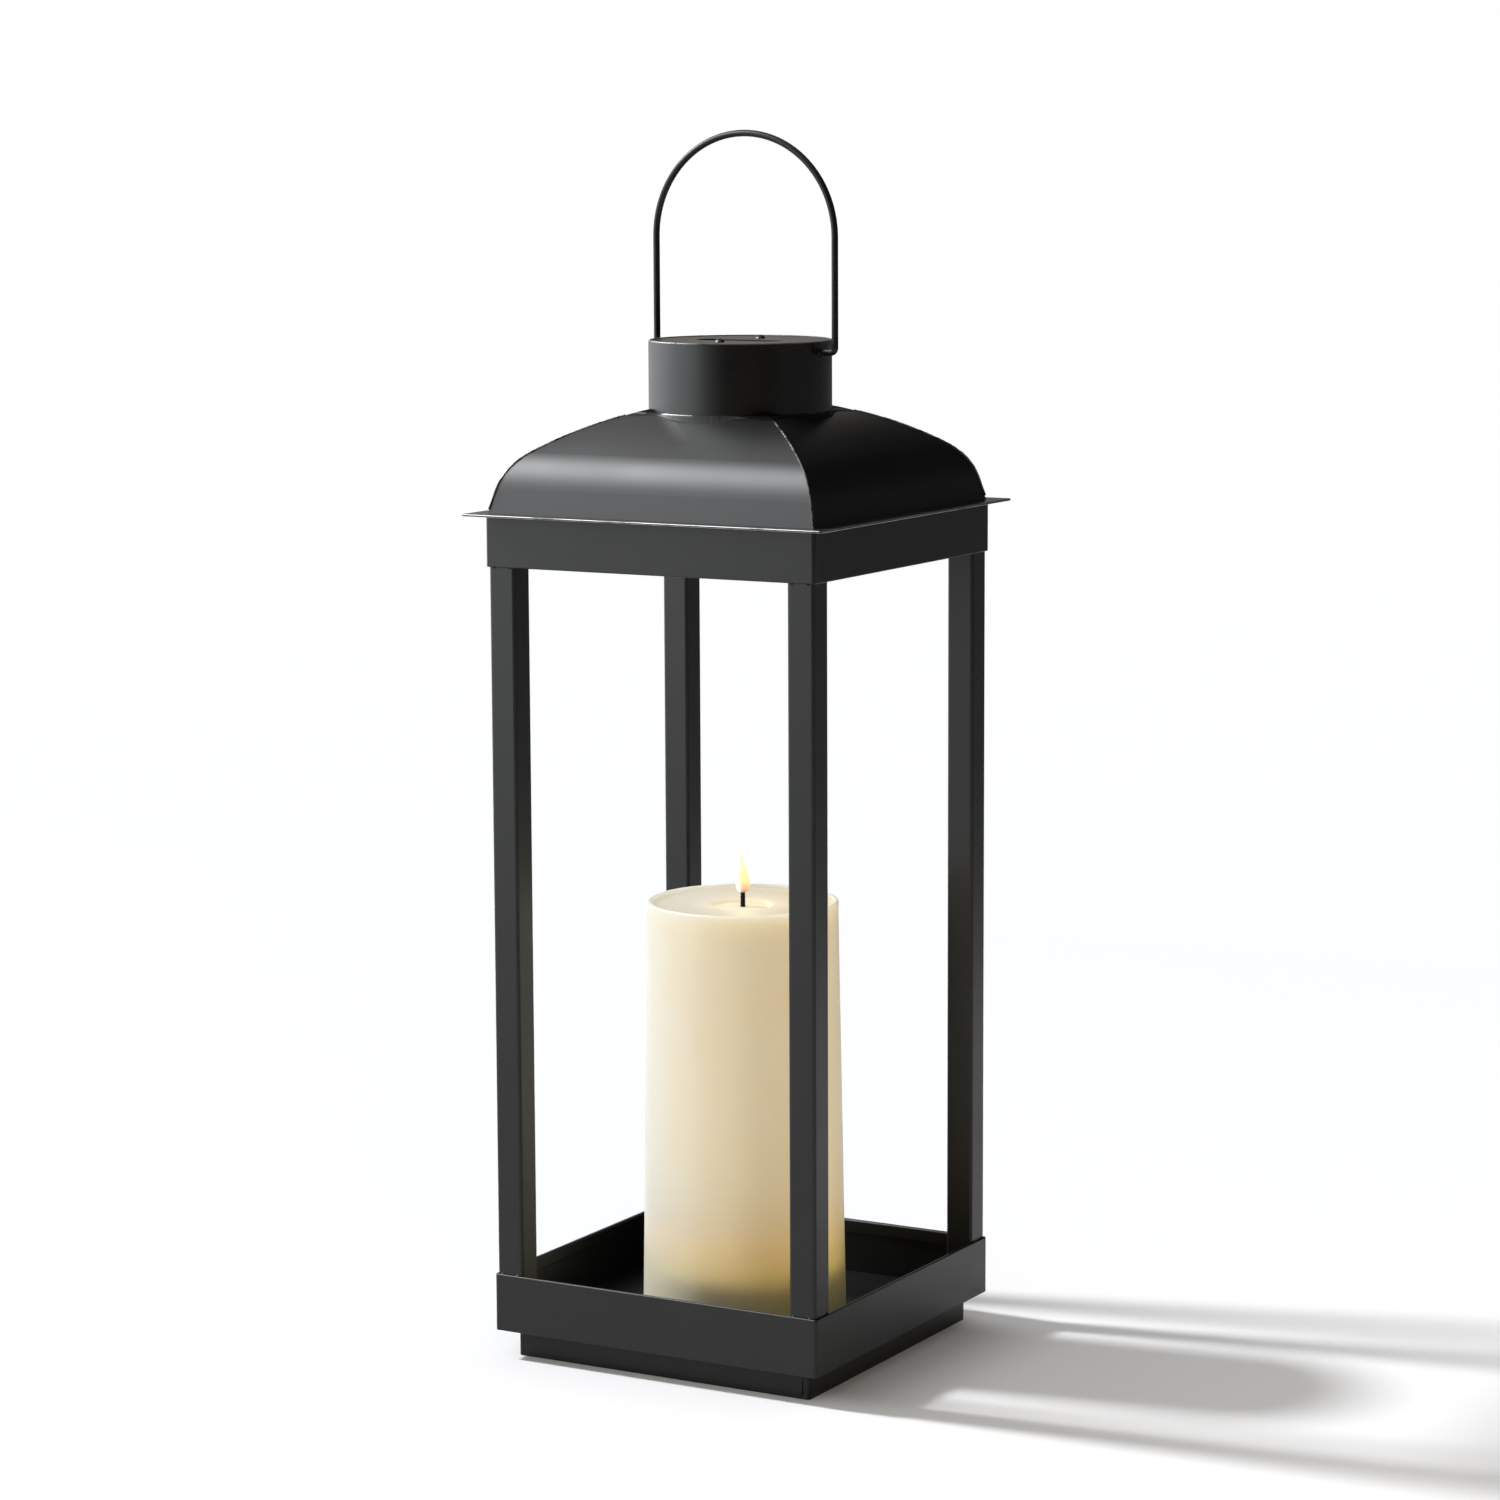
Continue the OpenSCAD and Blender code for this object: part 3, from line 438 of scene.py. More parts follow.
# %% [markdown]
# ## Finish: black powder coat
# The lantern's sheet parts share one satin black coat. It is very dark, so nearly all the grey that
# the eye reads is a soft reflection of the room, and the roughness matters more than the colour. One
# function makes the coat, and each family of parts gets its own copy with other waves and scratches:
# a post is stiff and straight, a roof panel is rolled by hand, and the tray floor gathers dust.

# %% Black coats
COAT_DARK = (0.0022, 0.0023, 0.0026)
COAT_WORN = (0.030, 0.030, 0.031)
DUST_GREY = (0.16, 0.155, 0.145)


def black_coat(name, wave_length, wave_height, gloss, scratch_turn, scratch_amount, dust_share, sheen=1.4):
    """Satin black powder coat on sheet metal."""
    coat = Finish(name, IOR=sheen)
    grain = coat.place(coat_grain, Peel_Size=2.4, Peel_Height=0.0045, Tooth_Height=0.0009)
    wave = coat.place(waves, Length=wave_length, Height=wave_height)
    cloud = coat.place(clouds, Size=70.0, Break_Up=0.55)
    worn = coat.place(edge_wear, Width=0.5, Patch_Size=7.0, Cover=0.45)
    lines = coat.place(scratches, Turn=scratch_turn, Amount=scratch_amount)
    film = coat.place(dust, Grain_Size=1.2)
    rubbed = coat.larger(worn, coat.scaled(lines, 0.5))
    colour = coat.blend(coat.scaled(rubbed, 0.8), COAT_DARK, COAT_WORN)
    colour = coat.blend(coat.scaled(film, dust_share), colour, DUST_GREY)
    rough = coat.scaled(cloud, 0.07, gloss - 0.035)
    rough = coat.plus(rough, coat.scaled(film, 0.25 * dust_share))
    rough = coat.minus(rough, coat.scaled(worn, 0.08))
    coat.feed(Base_Color=colour, Roughness=rough)
    coat.raise_surface(grain, wave, coat.scaled(lines, -0.006 * MM))
    return coat


ACROSS, UPRIGHT, SLANTED = (0.0, 0.0, 0.0), (0.0, pi / 2, 0.0), (0.1, 0.25, 0.5)
# The waves' length and height in millimetres, the gloss, the scratches' turn and amount, the dust
# and, where it isn't the usual one, the sheen
coat_band = black_coat("coat_band", 60.0, 0.030, 0.36, ACROSS, 0.25, 0.008)
coat_post = black_coat("coat_post", 90.0, 0.020, 0.36, UPRIGHT, 0.2, 0.008)
coat_roof = black_coat("coat_roof", 38.0, 0.030, 0.40, SLANTED, 0.3, 0.006)
coat_collar = black_coat("coat_collar", 45.0, 0.010, 0.30, ACROSS, 0.5, 0.008)
coat_tray = black_coat("coat_tray", 55.0, 0.035, 0.42, SLANTED, 0.35, 0.012, 1.3)
coat_plinth = black_coat("coat_plinth", 60.0, 0.030, 0.40, ACROSS, 0.25, 0.008, 1.32)
coat_weld = black_coat("coat_weld", 12.0, 0.010, 0.36, SLANTED, 0.2, 0.002, 1.33)
coat_seam = black_coat("coat_seam", 12.0, 0.010, 0.42, SLANTED, 0.2, 0.002, 1.24)
coat_eave = black_coat("coat_eave", 60.0, 0.030, 0.36, ACROSS, 0.25, 0.008)
coat_cap = black_coat("coat_cap", 40.0, 0.012, 0.42, SLANTED, 0.4, 0.04)
coat_band.dress("base_band", "upper_band")
coat_post.dress(*POSTS)
coat_roof.dress(*ROOF_PANELS)
coat_collar.dress("collar")
coat_tray.dress("tray_floor")
coat_plinth.dress("plinth")
coat_eave.dress("eave_plate")
coat_cap.dress("cap_disc", "vent_baffle")

# %% [markdown]
# ## Finish: bare steel and painted highlights
# The collar's rim is the place where a hand takes the lantern, and where a cloth rubs. Along the very edge
# its coat gives way to bare steel, most on the side towards the key lamp, and that edge draws a thin bright
# line: partly wear, partly a painted highlight. So do the two edges of the eave, which are also partly
# painted highlights, and a line in the weld under the collar, which is a painted highlight with a painted
# dark line of shade just above it. Each bright line is a mask, made of the distance from its edge and broken
# up by clouds, and one helper lets the steel through.

# %% Rubbed rim of the collar, partly a painted highlight
BARE_STEEL = (0.42, 0.41, 0.40)
RIM_WEAR_AND_HIGHLIGHT_FROM, RIM_WEAR_AND_HIGHLIGHT_FULL = 524.45 * MM, 524.85 * MM


# Bare steel is real wear on the screws and the wire. On the collar's rim, the eave and the hips it is partly
# a painted highlight, and on the seam it is a painted highlight.
def show_steel(finish, where, coated=None):
    """Let bare steel through a coat wherever a mask is white."""
    if coated is None:
        coated = finish.shader.inputs["Base Color"].links[0].from_socket
    finish.feed(Base_Color=finish.blend(where, coated, BARE_STEEL), Metallic=where)


x, y, z = coat_collar.axes()
patch = coat_collar.place(clouds, Size=7.0, Break_Up=0.6)
# Partly wear, partly a painted highlight: bare steel along the rim, strongest towards -X, where the key lamp
# stands.
at_rim = coat_collar.remap(z, RIM_WEAR_AND_HIGHLIGHT_FROM, RIM_WEAR_AND_HIGHLIGHT_FULL)
rim_wear_and_highlight = coat_collar.times(at_rim, coat_collar.remap(patch, 0.1, 0.4))
rim_wear_and_highlight = coat_collar.times(rim_wear_and_highlight, coat_collar.remap(x, 10 * MM, -30 * MM, 0.15, 1.0))
show_steel(coat_collar, rim_wear_and_highlight)
print("rim rubbed above", RIM_WEAR_AND_HIGHLIGHT_FROM, "m")

# %% Rubbed edges of the eave, partly painted highlights
eave_points = [vert.co for vert in nodes["eave_plate"].data.vertices]
EAVE_LOW, EAVE_TOP = min(point.z for point in eave_points), max(point.z for point in eave_points)
EAVE_REACH = max(point.x for point in eave_points)
x, y, z = coat_eave.axes()
outermost = coat_eave.larger(coat_eave.size_of(x), coat_eave.size_of(y))
at_edge = coat_eave.remap(outermost, EAVE_REACH - 0.45 * MM, EAVE_REACH - 0.30 * MM)
upper = coat_eave.remap(z, EAVE_TOP - 0.40 * MM, EAVE_TOP - 0.28 * MM)
lower = coat_eave.remap(z, EAVE_LOW + 0.36 * MM, EAVE_LOW + 0.24 * MM)
patch = coat_eave.place(clouds, Size=22.0, Break_Up=0.6)
# Partly wear, partly a painted highlight: bare steel along the eave's upper and lower outer edges.
eave_wear_and_highlight = coat_eave.times(at_edge, coat_eave.larger(upper, lower))
show_steel(coat_eave, coat_eave.times(eave_wear_and_highlight, coat_eave.remap(patch, 0.05, 0.55, 0.25, 0.9)))
print("eave edges rubbed from", round(EAVE_LOW, 4), "to", round(EAVE_TOP, 4), "m")

# %% Bright line on the collar's seam: a painted highlight, with a painted dark line above it
SEAM_GLINT = 488.85 * MM
x, y, z = coat_seam.axes()
off_line = coat_seam.size_of(coat_seam.minus(z, SEAM_GLINT))
on_line = coat_seam.remap(off_line, 0.30 * MM, 0.08 * MM, 0.0, 0.55)
patch = coat_seam.place(clouds, Size=9.0, Break_Up=0.5)
# Painted highlight: a thin line of bare steel along the seam, on the side towards the key lamp.
glint = coat_seam.times(on_line, coat_seam.remap(x, 10 * MM, -6 * MM))
show_steel(coat_seam, coat_seam.times(glint, coat_seam.remap(patch, 0.3, 0.42)))
# Painted shade: just above the bright line, the weld's reflection is turned down to a dark line that stands
# for the shade under the collar.
painted_shade_line = coat_seam.remap(z, SEAM_GLINT + 0.2 * MM, SEAM_GLINT + 0.4 * MM, 0.5, 0.05)
coat_seam.feed(Specular_IOR_Level=painted_shade_line)
print("glint on the seam at", SEAM_GLINT, "m")

# %% [markdown]
# ## Finish: handle and screws
# The dome screws and the wire of the handle are blackened steel: harder, glossier and slightly
# metallic. The handle swings on its two hooked ends, and there the coat wears through first. A mask
# that depends on the distance from the collar's wall, broken up by noise, puts the bare steel in the
# right places: where the wire turns in its holes and nowhere else.

# %% Screw finish
WIRE_BLACK = (0.005, 0.005, 0.0055)


def blackened(name, sheen, peel, tooth, cloud_size, cloud_share, gloss):
    """Blackened steel with its grain and a cloudy gloss. The rubbed places are added to it later."""
    steel = Finish(name, IOR=sheen)
    cloud = steel.place(clouds, Size=cloud_size, Break_Up=0.6)
    steel.feed(Roughness=steel.scaled(cloud, cloud_share, gloss))
    steel.raise_surface(steel.place(coat_grain, Peel_Size=peel, Peel_Height=0.003, Tooth_Height=tooth))
    return steel


screw = blackened("screw_black", 1.38, 1.3, 0.0008, 18.0, 0.08, 0.20)
show_steel(screw, screw.place(edge_wear, Width=0.35, Patch_Size=3.0, Cover=0.15), WIRE_BLACK)
screw.dress("cap_screws")

# %% Handle finish
PIVOT_Z = 519.5 * MM
COLLAR_RADIUS = 47.0 * MM
wire = blackened("wire_coat", 1.28, 1.6, 0.0008, 22.0, 0.09, 0.30)
patch = wire.place(clouds, Size=2.6, Break_Up=0.7)
x, y, z = wire.axes()
near_hole = wire.remap(wire.size_of(x), COLLAR_RADIUS + 1.4 * MM, COLLAR_RADIUS + 0.4 * MM)
near_hole = wire.times(near_hole, wire.below(z, PIVOT_Z + 3 * MM))
show_steel(wire, wire.times(near_hole, wire.remap(patch, 0.62, 0.82)), WIRE_BLACK)
wire.dress("handle")

# %% [markdown]
# ## Finish: wax
# Paraffin wax lets light in and scatters it about before letting it out again, red light the
# farthest. That is why the shaded side of a candle turns amber instead of grey. The Principled
# shader's subsurface part does this: its radius says how far each of red, green and blue travels.
# A soft sheen, faint marbling and a few shallow dimples keep it from looking like plastic. On the side
# turned away from the key lamp the base colour also deepens from pale cream to amber, more so low down:
# painted shade, on top of what the subsurface part gives. Below the tray's lip the wax is painted paler and
# brighter, against the shade of the tray: painted light, amber on that same shaded side.

# %% Wax finish
WAX_PALE, WAX_DEEP, WAX_SHADE_AMBER = (0.765, 0.748, 0.660), (0.775, 0.735, 0.620), (0.870, 0.700, 0.370)
FOOT_PAINTED_LIGHT, FOOT_PAINTED_AMBER = (0.990, 0.845, 0.640), (0.995, 0.735, 0.330)
SHADED_WAY = (0.87, 0.49, 0.0)
SHADE_FROM, SHADE_FULL = -34 * MM, 30 * MM
AMBER_SHADE_FROM, AMBER_SHADE_FULL = 120 * MM, 20 * MM
FOOT_LIGHT_FROM, FOOT_LIGHT_FULL = 78 * MM, 42 * MM
wax = Finish("wax", IOR=1.44, Subsurface_Weight=1.0, Subsurface_Scale=14.0 * MM)
wax.feed(Subsurface_Radius=(1.15, 1.05, 0.90), Subsurface_Anisotropy=0.1)
marble = wax.place(clouds, Size=34.0, Break_Up=0.45)
bloom = wax.place(clouds, Size=9.0, Break_Up=0.6)
film = wax.place(dust, Grain_Size=2.5)
x, y, z = wax.axes()
# Painted shade: on the side turned away from the key lamp, and more so low down, the base colour deepens to
# amber.
shaded_side = wax.remap(wax.dot(wax.spot(), SHADED_WAY), SHADE_FROM, SHADE_FULL)
painted_amber_shade = wax.times(wax.remap(z, AMBER_SHADE_FROM, AMBER_SHADE_FULL, 0.3, 1.0), shaded_side)
wax_colour = wax.blend(marble, WAX_PALE, WAX_DEEP)
wax_colour = wax.blend(painted_amber_shade, wax_colour, WAX_SHADE_AMBER)
# Painted light: below the tray's lip the wax is painted paler and brighter against the tray's shade, and
# amber on the side away from the key lamp.
painted_foot_light = wax.blend(shaded_side, FOOT_PAINTED_LIGHT, FOOT_PAINTED_AMBER)
wax_colour = wax.blend(wax.remap(z, FOOT_LIGHT_FROM, FOOT_LIGHT_FULL), wax_colour, painted_foot_light)
rough = wax.plus(wax.scaled(bloom, 0.12, 0.42), wax.scaled(film, 0.08))
wax.feed(Base_Color=wax_colour, Roughness=rough)
ripple = wax.place(waves, Length=16.0, Height=0.05)
dimple = wax.place(coat_grain, Peel_Size=5.0, Peel_Height=0.012, Tooth_Height=0.001)
wax.raise_surface(ripple, dimple)

# %% [markdown]
# ## Finish: the plastic parts
# Under the wax sits a moulded works: a cream tower and housing, a foot with its battery cover, and a
# small black switch. Both plastics share the etched skin. The cream one is a little translucent and
# has rubbed, yellowed edges; the black one is nylon, duller and darker.

# %% Plastic finishes
CREAM, CREAM_RUBBED = (0.74, 0.68, 0.54), (0.80, 0.76, 0.66)
NYLON, NYLON_RUBBED = (0.012, 0.012, 0.013), (0.07, 0.07, 0.072)


def plastic(name, plain, rubbed, gloss, pit_depth, glow_through=0.0):
    """Moulded plastic with etched skin, handled edges and an uneven sheen."""
    part = Finish(name, IOR=1.46, Subsurface_Weight=glow_through, Subsurface_Scale=2.0 * MM)
    height, pits = part.place(skin, Pit_Size=0.4, Depth=pit_depth)
    cloud = part.place(clouds, Size=24.0, Break_Up=0.5)
    worn = part.place(edge_wear, Width=0.35, Patch_Size=5.0, Cover=0.5)
    film = part.place(dust, Grain_Size=0.9)
    lines = part.place(scratches, Turn=(0.2, 0.1, 0.7), Amount=0.3)
    handled = part.larger(worn, part.scaled(lines, 0.6))
    shadowed = tuple(0.88 * share for share in plain)
    colour = part.blend(part.scaled(cloud, 0.5), part.blend(handled, plain, rubbed), shadowed)
    colour = part.blend(part.scaled(film, 0.06), colour, DUST_GREY)
    rough = part.minus(part.scaled(pits, 0.12, gloss), part.scaled(handled, 0.10))
    part.feed(Base_Color=colour, Roughness=rough)
    part.raise_surface(height, part.scaled(lines, -0.004 * MM))
    return part


cream_plastic = plastic("cream_plastic", CREAM, CREAM_RUBBED, 0.42, 0.030, 0.15)
switch_black = plastic("switch_black", NYLON, NYLON_RUBBED, 0.48, 0.040)
cream_plastic.dress("lamp_tower", "battery_housing", "base_plate", "battery_cover")
switch_black.dress("switch_knob", "switch_body")

# %% [markdown]
# ## Finish: plated metal
# Screws, nuts and spacers are zinc plated, the contacts and springs are nickel plated, and the lamp's
# leads are tinned. Plating is a metal with a cloudy sheen: dull where it was handled, bright where
# something rubs, with a faint tarnish in patches. One function makes all three.

# %% Plated finishes
def plated(name, bright, tarnished, gloss, patch):
    """Plated steel: metallic, cloudy, with patches of tarnish and rubbed edges."""
    plate = Finish(name, Metallic=1.0)
    cloud = plate.place(clouds, Size=patch, Break_Up=0.65)
    worn = plate.place(edge_wear, Width=0.2, Patch_Size=1.5, Cover=0.7)
    grain = plate.place(coat_grain, Peel_Size=0.8, Peel_Height=0.002, Tooth_Height=0.0006)
    lines = plate.place(scratches, Turn=(0.0, 0.4, 0.3), Amount=0.5)
    dull = plate.minus(cloud, worn, clamp=True)
    rough = plate.plus(plate.scaled(dull, 0.22, gloss), plate.scaled(lines, 0.08))
    plate.feed(Base_Color=plate.blend(dull, bright, tarnished), Roughness=rough)
    plate.raise_surface(grain)
    return plate


zinc = plated("zinc_plate", (0.66, 0.67, 0.69), (0.42, 0.42, 0.40), 0.26, 3.0)
nickel = plated("nickel_plate", (0.72, 0.69, 0.64), (0.52, 0.48, 0.41), 0.20, 5.0)
tinned = plated("tinned_wire", (0.74, 0.74, 0.73), (0.50, 0.50, 0.48), 0.30, 1.2)
zinc.dress("base_screws", "baffle_spacers", "cap_nuts")
nickel.dress("contact_bridge", "contact_minus", "contact_plus")
nickel.dress("contact_spring_front", "contact_spring_back")
tinned.dress("led_leads")

# %% [markdown]
# ## Finish: circuit board, wires and lamp
# The board is woven glass in green lacquer: two sets of threads crossing at right angles show
# through as a faint weave, and pale lacquer edges mark the rim. The wires wear soft red insulation.
# The little lamp is cast in warm clear resin and shines.

# %% Board finish
BOARD_LIGHT, BOARD_GREEN, BOARD_DEEP = (0.010, 0.085, 0.032), (0.018, 0.130, 0.050), (0.008, 0.060, 0.026)
BOARD_RIM = (0.36, 0.38, 0.22)
THREADS = 420.0
board = Finish("board_lacquer", IOR=1.52, Coat_Weight=0.6)
threads = {"Vector": board.spot(), "Scale": THREADS, "Distortion": 0.6}
warp = board.put("TexWave", threads, bands_direction="X").outputs["Fac"]
weft = board.put("TexWave", threads, bands_direction="Y").outputs["Fac"]
weave = board.times(warp, weft)
cloud = board.place(clouds, Size=12.0, Break_Up=0.5)
film = board.place(dust, Grain_Size=0.8)
rim = board.place(edge_wear, Width=0.3, Patch_Size=4.0, Cover=1.0)
green = board.blend(board.scaled(weave, 0.6), BOARD_LIGHT, BOARD_GREEN)
green = board.blend(board.scaled(cloud, 0.3), green, BOARD_DEEP)
green = board.blend(rim, green, BOARD_RIM)
green = board.blend(board.scaled(film, 0.08), green, DUST_GREY)
board.feed(Base_Color=green, Roughness=board.scaled(cloud, 0.12, 0.24))
board.raise_surface(board.scaled(weave, 0.006 * MM))
board.dress("circuit_board")

# %% Wire and lamp finishes
wire_red = Finish("wire_red", IOR=1.5)
cloud = wire_red.place(clouds, Size=4.0, Break_Up=0.6)
wire_red.feed(
    Base_Color=wire_red.blend(cloud, (0.42, 0.022, 0.015), (0.30, 0.018, 0.014)),
    Roughness=wire_red.scaled(cloud, 0.15, 0.32),
)
wire_red.raise_surface(wire_red.place(skin, Pit_Size=0.2, Depth=0.004)["Height"])
wire_red.dress("switch_wires")

resin = Finish("lamp_resin", IOR=1.5, Emission_Strength=2.0)
cloud = resin.place(clouds, Size=1.2, Break_Up=0.4)
resin.feed(
    Emission_Color=resin.blend(cloud, (1.0, 0.62, 0.24), (1.0, 0.78, 0.42)),
    Base_Color=resin.blend(cloud, (0.80, 0.68, 0.45), (0.86, 0.78, 0.60)),
    Roughness=resin.scaled(cloud, 0.06, 0.10),
)
resin.raise_surface(resin.place(skin, Pit_Size=0.3, Depth=0.002)["Height"])
resin.dress("flame_led")

# %% [markdown]
# ## Finish: the two cells
# A cell has a smooth printed sleeve, dark with one copper-coloured band at its positive end, and
# bare plated ends. The two lie side by side and point opposite ways, so the function measures along
# each cell from its own middle.

# %% Cell finish
SLEEVE_DARK, SLEEVE_BAND, SLEEVE_WORN = (0.016, 0.018, 0.022), (0.50, 0.20, 0.07), (0.30, 0.30, 0.30)
CELL_END = (0.66, 0.65, 0.63)
SLEEVE_HALF, BAND_FROM, PRINT_EDGE = 21.6 * MM, 9.0 * MM, 0.1 * MM


def cell_sleeve(name, node_name, plus_side):
    """A printed sleeve along X with its copper band towards the positive end."""
    low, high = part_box(node_name)
    middle_x = (low.x + high.x) / 2
    sleeve = Finish(name, IOR=1.5)
    x, y, z = sleeve.axes()
    wander = sleeve.place(clouds, Size=6.0, Break_Up=0.5)
    along = sleeve.scaled(x, plus_side, -plus_side * middle_x)
    along = sleeve.plus(along, sleeve.scaled(wander, 0.15 * MM))
    band = sleeve.remap(along, BAND_FROM, BAND_FROM + PRINT_EDGE)
    bare = sleeve.remap(sleeve.size_of(along), SLEEVE_HALF, SLEEVE_HALF + PRINT_EDGE)
    lines = sleeve.place(scratches, Turn=ACROSS, Amount=0.4)
    cloud = sleeve.place(clouds, Size=8.0, Break_Up=0.5)
    colour = sleeve.blend(band, SLEEVE_DARK, SLEEVE_BAND)
    colour = sleeve.blend(sleeve.scaled(lines, 0.3), colour, SLEEVE_WORN)
    colour = sleeve.blend(bare, colour, CELL_END)
    sleeve.feed(Base_Color=colour, Metallic=bare, Roughness=sleeve.scaled(cloud, 0.10, 0.22))
    step = sleeve.scaled(sleeve.minus(1.0, bare), 0.06 * MM)
    sleeve.raise_surface(step, sleeve.scaled(lines, -0.002 * MM))
    sleeve.dress(node_name)


cell_sleeve("cell_front", "battery_front", -1.0)
cell_sleeve("cell_back", "battery_back", 1.0)

# %% [markdown]
# ## Soft edges on the metal
# No real edge is perfectly sharp: sheet is sheared, deburred and coated, and the coat pulls into a
# small round. That round catches the light as the thin bright line that outlines each sheet. The
# construction meshes stay as they are, and four modifiers work on top of them: Weld joins the
# points, Decimate joins the triangles of each flat into one face, Bevel rounds the edges, and
# Weighted Normal keeps the large flats flat. Without the joined flats, long thin triangles fold
# over where the bevel moves their corners.

# %% Round the sheet edges
def modify(piece, kind, name, **settings):
    """Add a modifier to a piece and set its options."""
    modifier = piece.modifiers.new(name, kind)
    for label, value in settings.items():
        setattr(modifier, label, value)


JOIN_WITHIN, FLAT_WITHIN, HARD_ABOVE = 0.004 * MM, radians(1), radians(32)


def soften(piece, width):
    """Round the hard edges of a construction piece by modifiers alone."""
    modify(piece, "WELD", "join_points", merge_threshold=JOIN_WITHIN)
    modify(piece, "DECIMATE", "join_flats", decimate_type="DISSOLVE", angle_limit=FLAT_WITHIN)
    modify(
        piece,
        "BEVEL",
        "round_edges",
        width=width,
        segments=2,
        limit_method="ANGLE",
        angle_limit=HARD_ABOVE,
        use_clamp_overlap=False,
        loop_slide=False,
        harden_normals=False,
        miter_outer="MITER_ARC",
    )
    modify(piece, "WEIGHTED_NORMAL", "keep_flats", keep_sharp=True, weight=90)


EDGES = {
    0.10 * MM: ("cap_disc",),
    0.15 * MM: ("switch_knob", "switch_body", "base_screws", "cap_nuts"),
    0.20 * MM: ("base_plate", "battery_cover", "battery_housing", "lamp_tower", "circuit_board"),
    0.25 * MM: ("tray_floor", "vent_baffle"),
    0.38 * MM: ("base_band", "upper_band", "plinth"),
    0.40 * MM: ("eave_plate",),
    0.42 * MM: ("collar",),
    0.60 * MM: POSTS,
}
for width, names in EDGES.items():
    for name in names:
        soften(nodes[name], width)
print("softened", sum(len(names) for names in EDGES.values()), "pieces")

# %% [markdown]
# ## The wax candle
# The pillar is poured in a tapered mould, so it is a little wider at its foot. Its top was let down
# into a shallow dish while warm, with a small pool pressed in round the wick. A revolved outline is
# right for the form, but a perfect lathe looks machined, so each point is then pulled inwards by a
# few hundredths of a millimetre of noise, and the edge of the pool wanders.

# %% Candle outline
TRAY_TOP = 15.9 * MM
CANDLE_HIGH = 218.5 * MM
TOP_RADIUS, FOOT_RADIUS = 49.8 * MM, 53.5 * MM
RIM_ROUND = 1.3 * MM
DISH_DEEP, POOL_DEEP = 2.2 * MM, 1.3 * MM
DISH_SLOPE, POOL_SLOPE = 5.0 * MM, 4.2 * MM
POOL_RADIUS, POOL_LIP = 15.5 * MM, 1.2 * MM
RECESS_RADIUS, RECESS_HIGH = 46.54 * MM, 10.0 * MM
WICK_HOLE = 1.4 * MM
DISH_Z = CANDLE_HIGH - DISH_DEEP
POOL_Z = DISH_Z - POOL_DEEP


def shares(count):
    """Equal steps up to 1, without the 0."""
    return [i / count for i in range(1, count + 1)]


def candle_outline():
    """Closed outline: up the outside, over the rim and the dish, down the wick hole, back inside."""
    rim_x, rim_z = TOP_RADIUS - RIM_ROUND, CANDLE_HIGH - RIM_ROUND
    dish_edge = rim_x - RIM_ROUND - DISH_SLOPE
    pool_edge = POOL_RADIUS + POOL_LIP
    pool_floor = pool_edge - POOL_SLOPE
    points = [(FOOT_RADIUS - 0.5 * MM, 0.0), (FOOT_RADIUS - 0.12 * MM, 0.15 * MM), (FOOT_RADIUS, 0.6 * MM)]
    points += [(FOOT_RADIUS + (TOP_RADIUS - FOOT_RADIUS) * t, rim_z * t) for t in shares(45)[:-1]]
    points += [(rim_x + RIM_ROUND * cos(pi * t), rim_z + RIM_ROUND * sin(pi * t)) for t in (0, *shares(14))]
    for t in shares(8):
        points.append((dish_edge + DISH_SLOPE * (1 - t), DISH_Z + (rim_z - DISH_Z) * (1 - t) ** 2))
    points += [(dish_edge + (pool_edge - dish_edge) * t, DISH_Z) for t in shares(14)]
    points += [(pool_edge - POOL_SLOPE * t, DISH_Z - POOL_DEEP * t * t * (3 - 2 * t)) for t in shares(8)]
    points += [(pool_floor + (WICK_HOLE - pool_floor) * t, POOL_Z) for t in shares(7)]
    for height in (POOL_Z - 3.0 * MM, CANDLE_HIGH * 0.6, CANDLE_HIGH * 0.3, RECESS_HIGH):
        points.append((WICK_HOLE, height))
    return points + [(RECESS_RADIUS * 0.5, RECESS_HIGH), (RECESS_RADIUS, RECESS_HIGH), (RECESS_RADIUS, 0.0)]


outline = candle_outline()
print("candle outline:", len(outline), "points")

# %% Candle
SIDE_DENT, DISH_DENT, POOL_WANDER = 0.16 * MM, 0.12 * MM, 1.9 * MM
SIDE_FROM, DISH_TO, DISH_FADE = 46.5 * MM, 46 * MM, 8 * MM
SIDE_TO = CANDLE_HIGH - 3 * MM
SIDE_LUMPS, DISH_LUMPS, POOL_LUMPS = 34, 30, 1.3


def hand_poured(point):
    """Pull a point of the candle in by a little noise, and let the pool's edge wander."""
    radius = hypot(point.x, point.y)
    turn = atan2(point.y, point.x)
    here = Vector((cos(turn), sin(turn), 0))
    pulled = Vector(point)
    if radius > SIDE_FROM and point.z < SIDE_TO:
        soft = noise.noise(Vector((point.x, point.y, point.z * 0.35)) * SIDE_LUMPS)
        pulled -= here * (SIDE_DENT * (0.5 + 0.5 * soft))
    elif point.z > POOL_Z - 0.1 * MM and radius < DISH_TO + 1 * MM:
        low = noise.noise(Vector((point.x, point.y, 0.4)) * DISH_LUMPS)
        fade = min(1.0, max(0.0, (DISH_TO - radius) / DISH_FADE))
        if radius > POOL_RADIUS - 4.5 * MM:
            wander = noise.noise(here * POOL_LUMPS + Vector((3, 1, 2)))
            near = max(0.0, 1 - abs(radius - POOL_RADIUS + 1 * MM) / (7 * MM))
            pulled += here * (POOL_WANDER * wander * near)
        pulled.z -= DISH_DENT * (0.5 + 0.5 * low) * fade
    pulled.z += TRAY_TOP
    return pulled


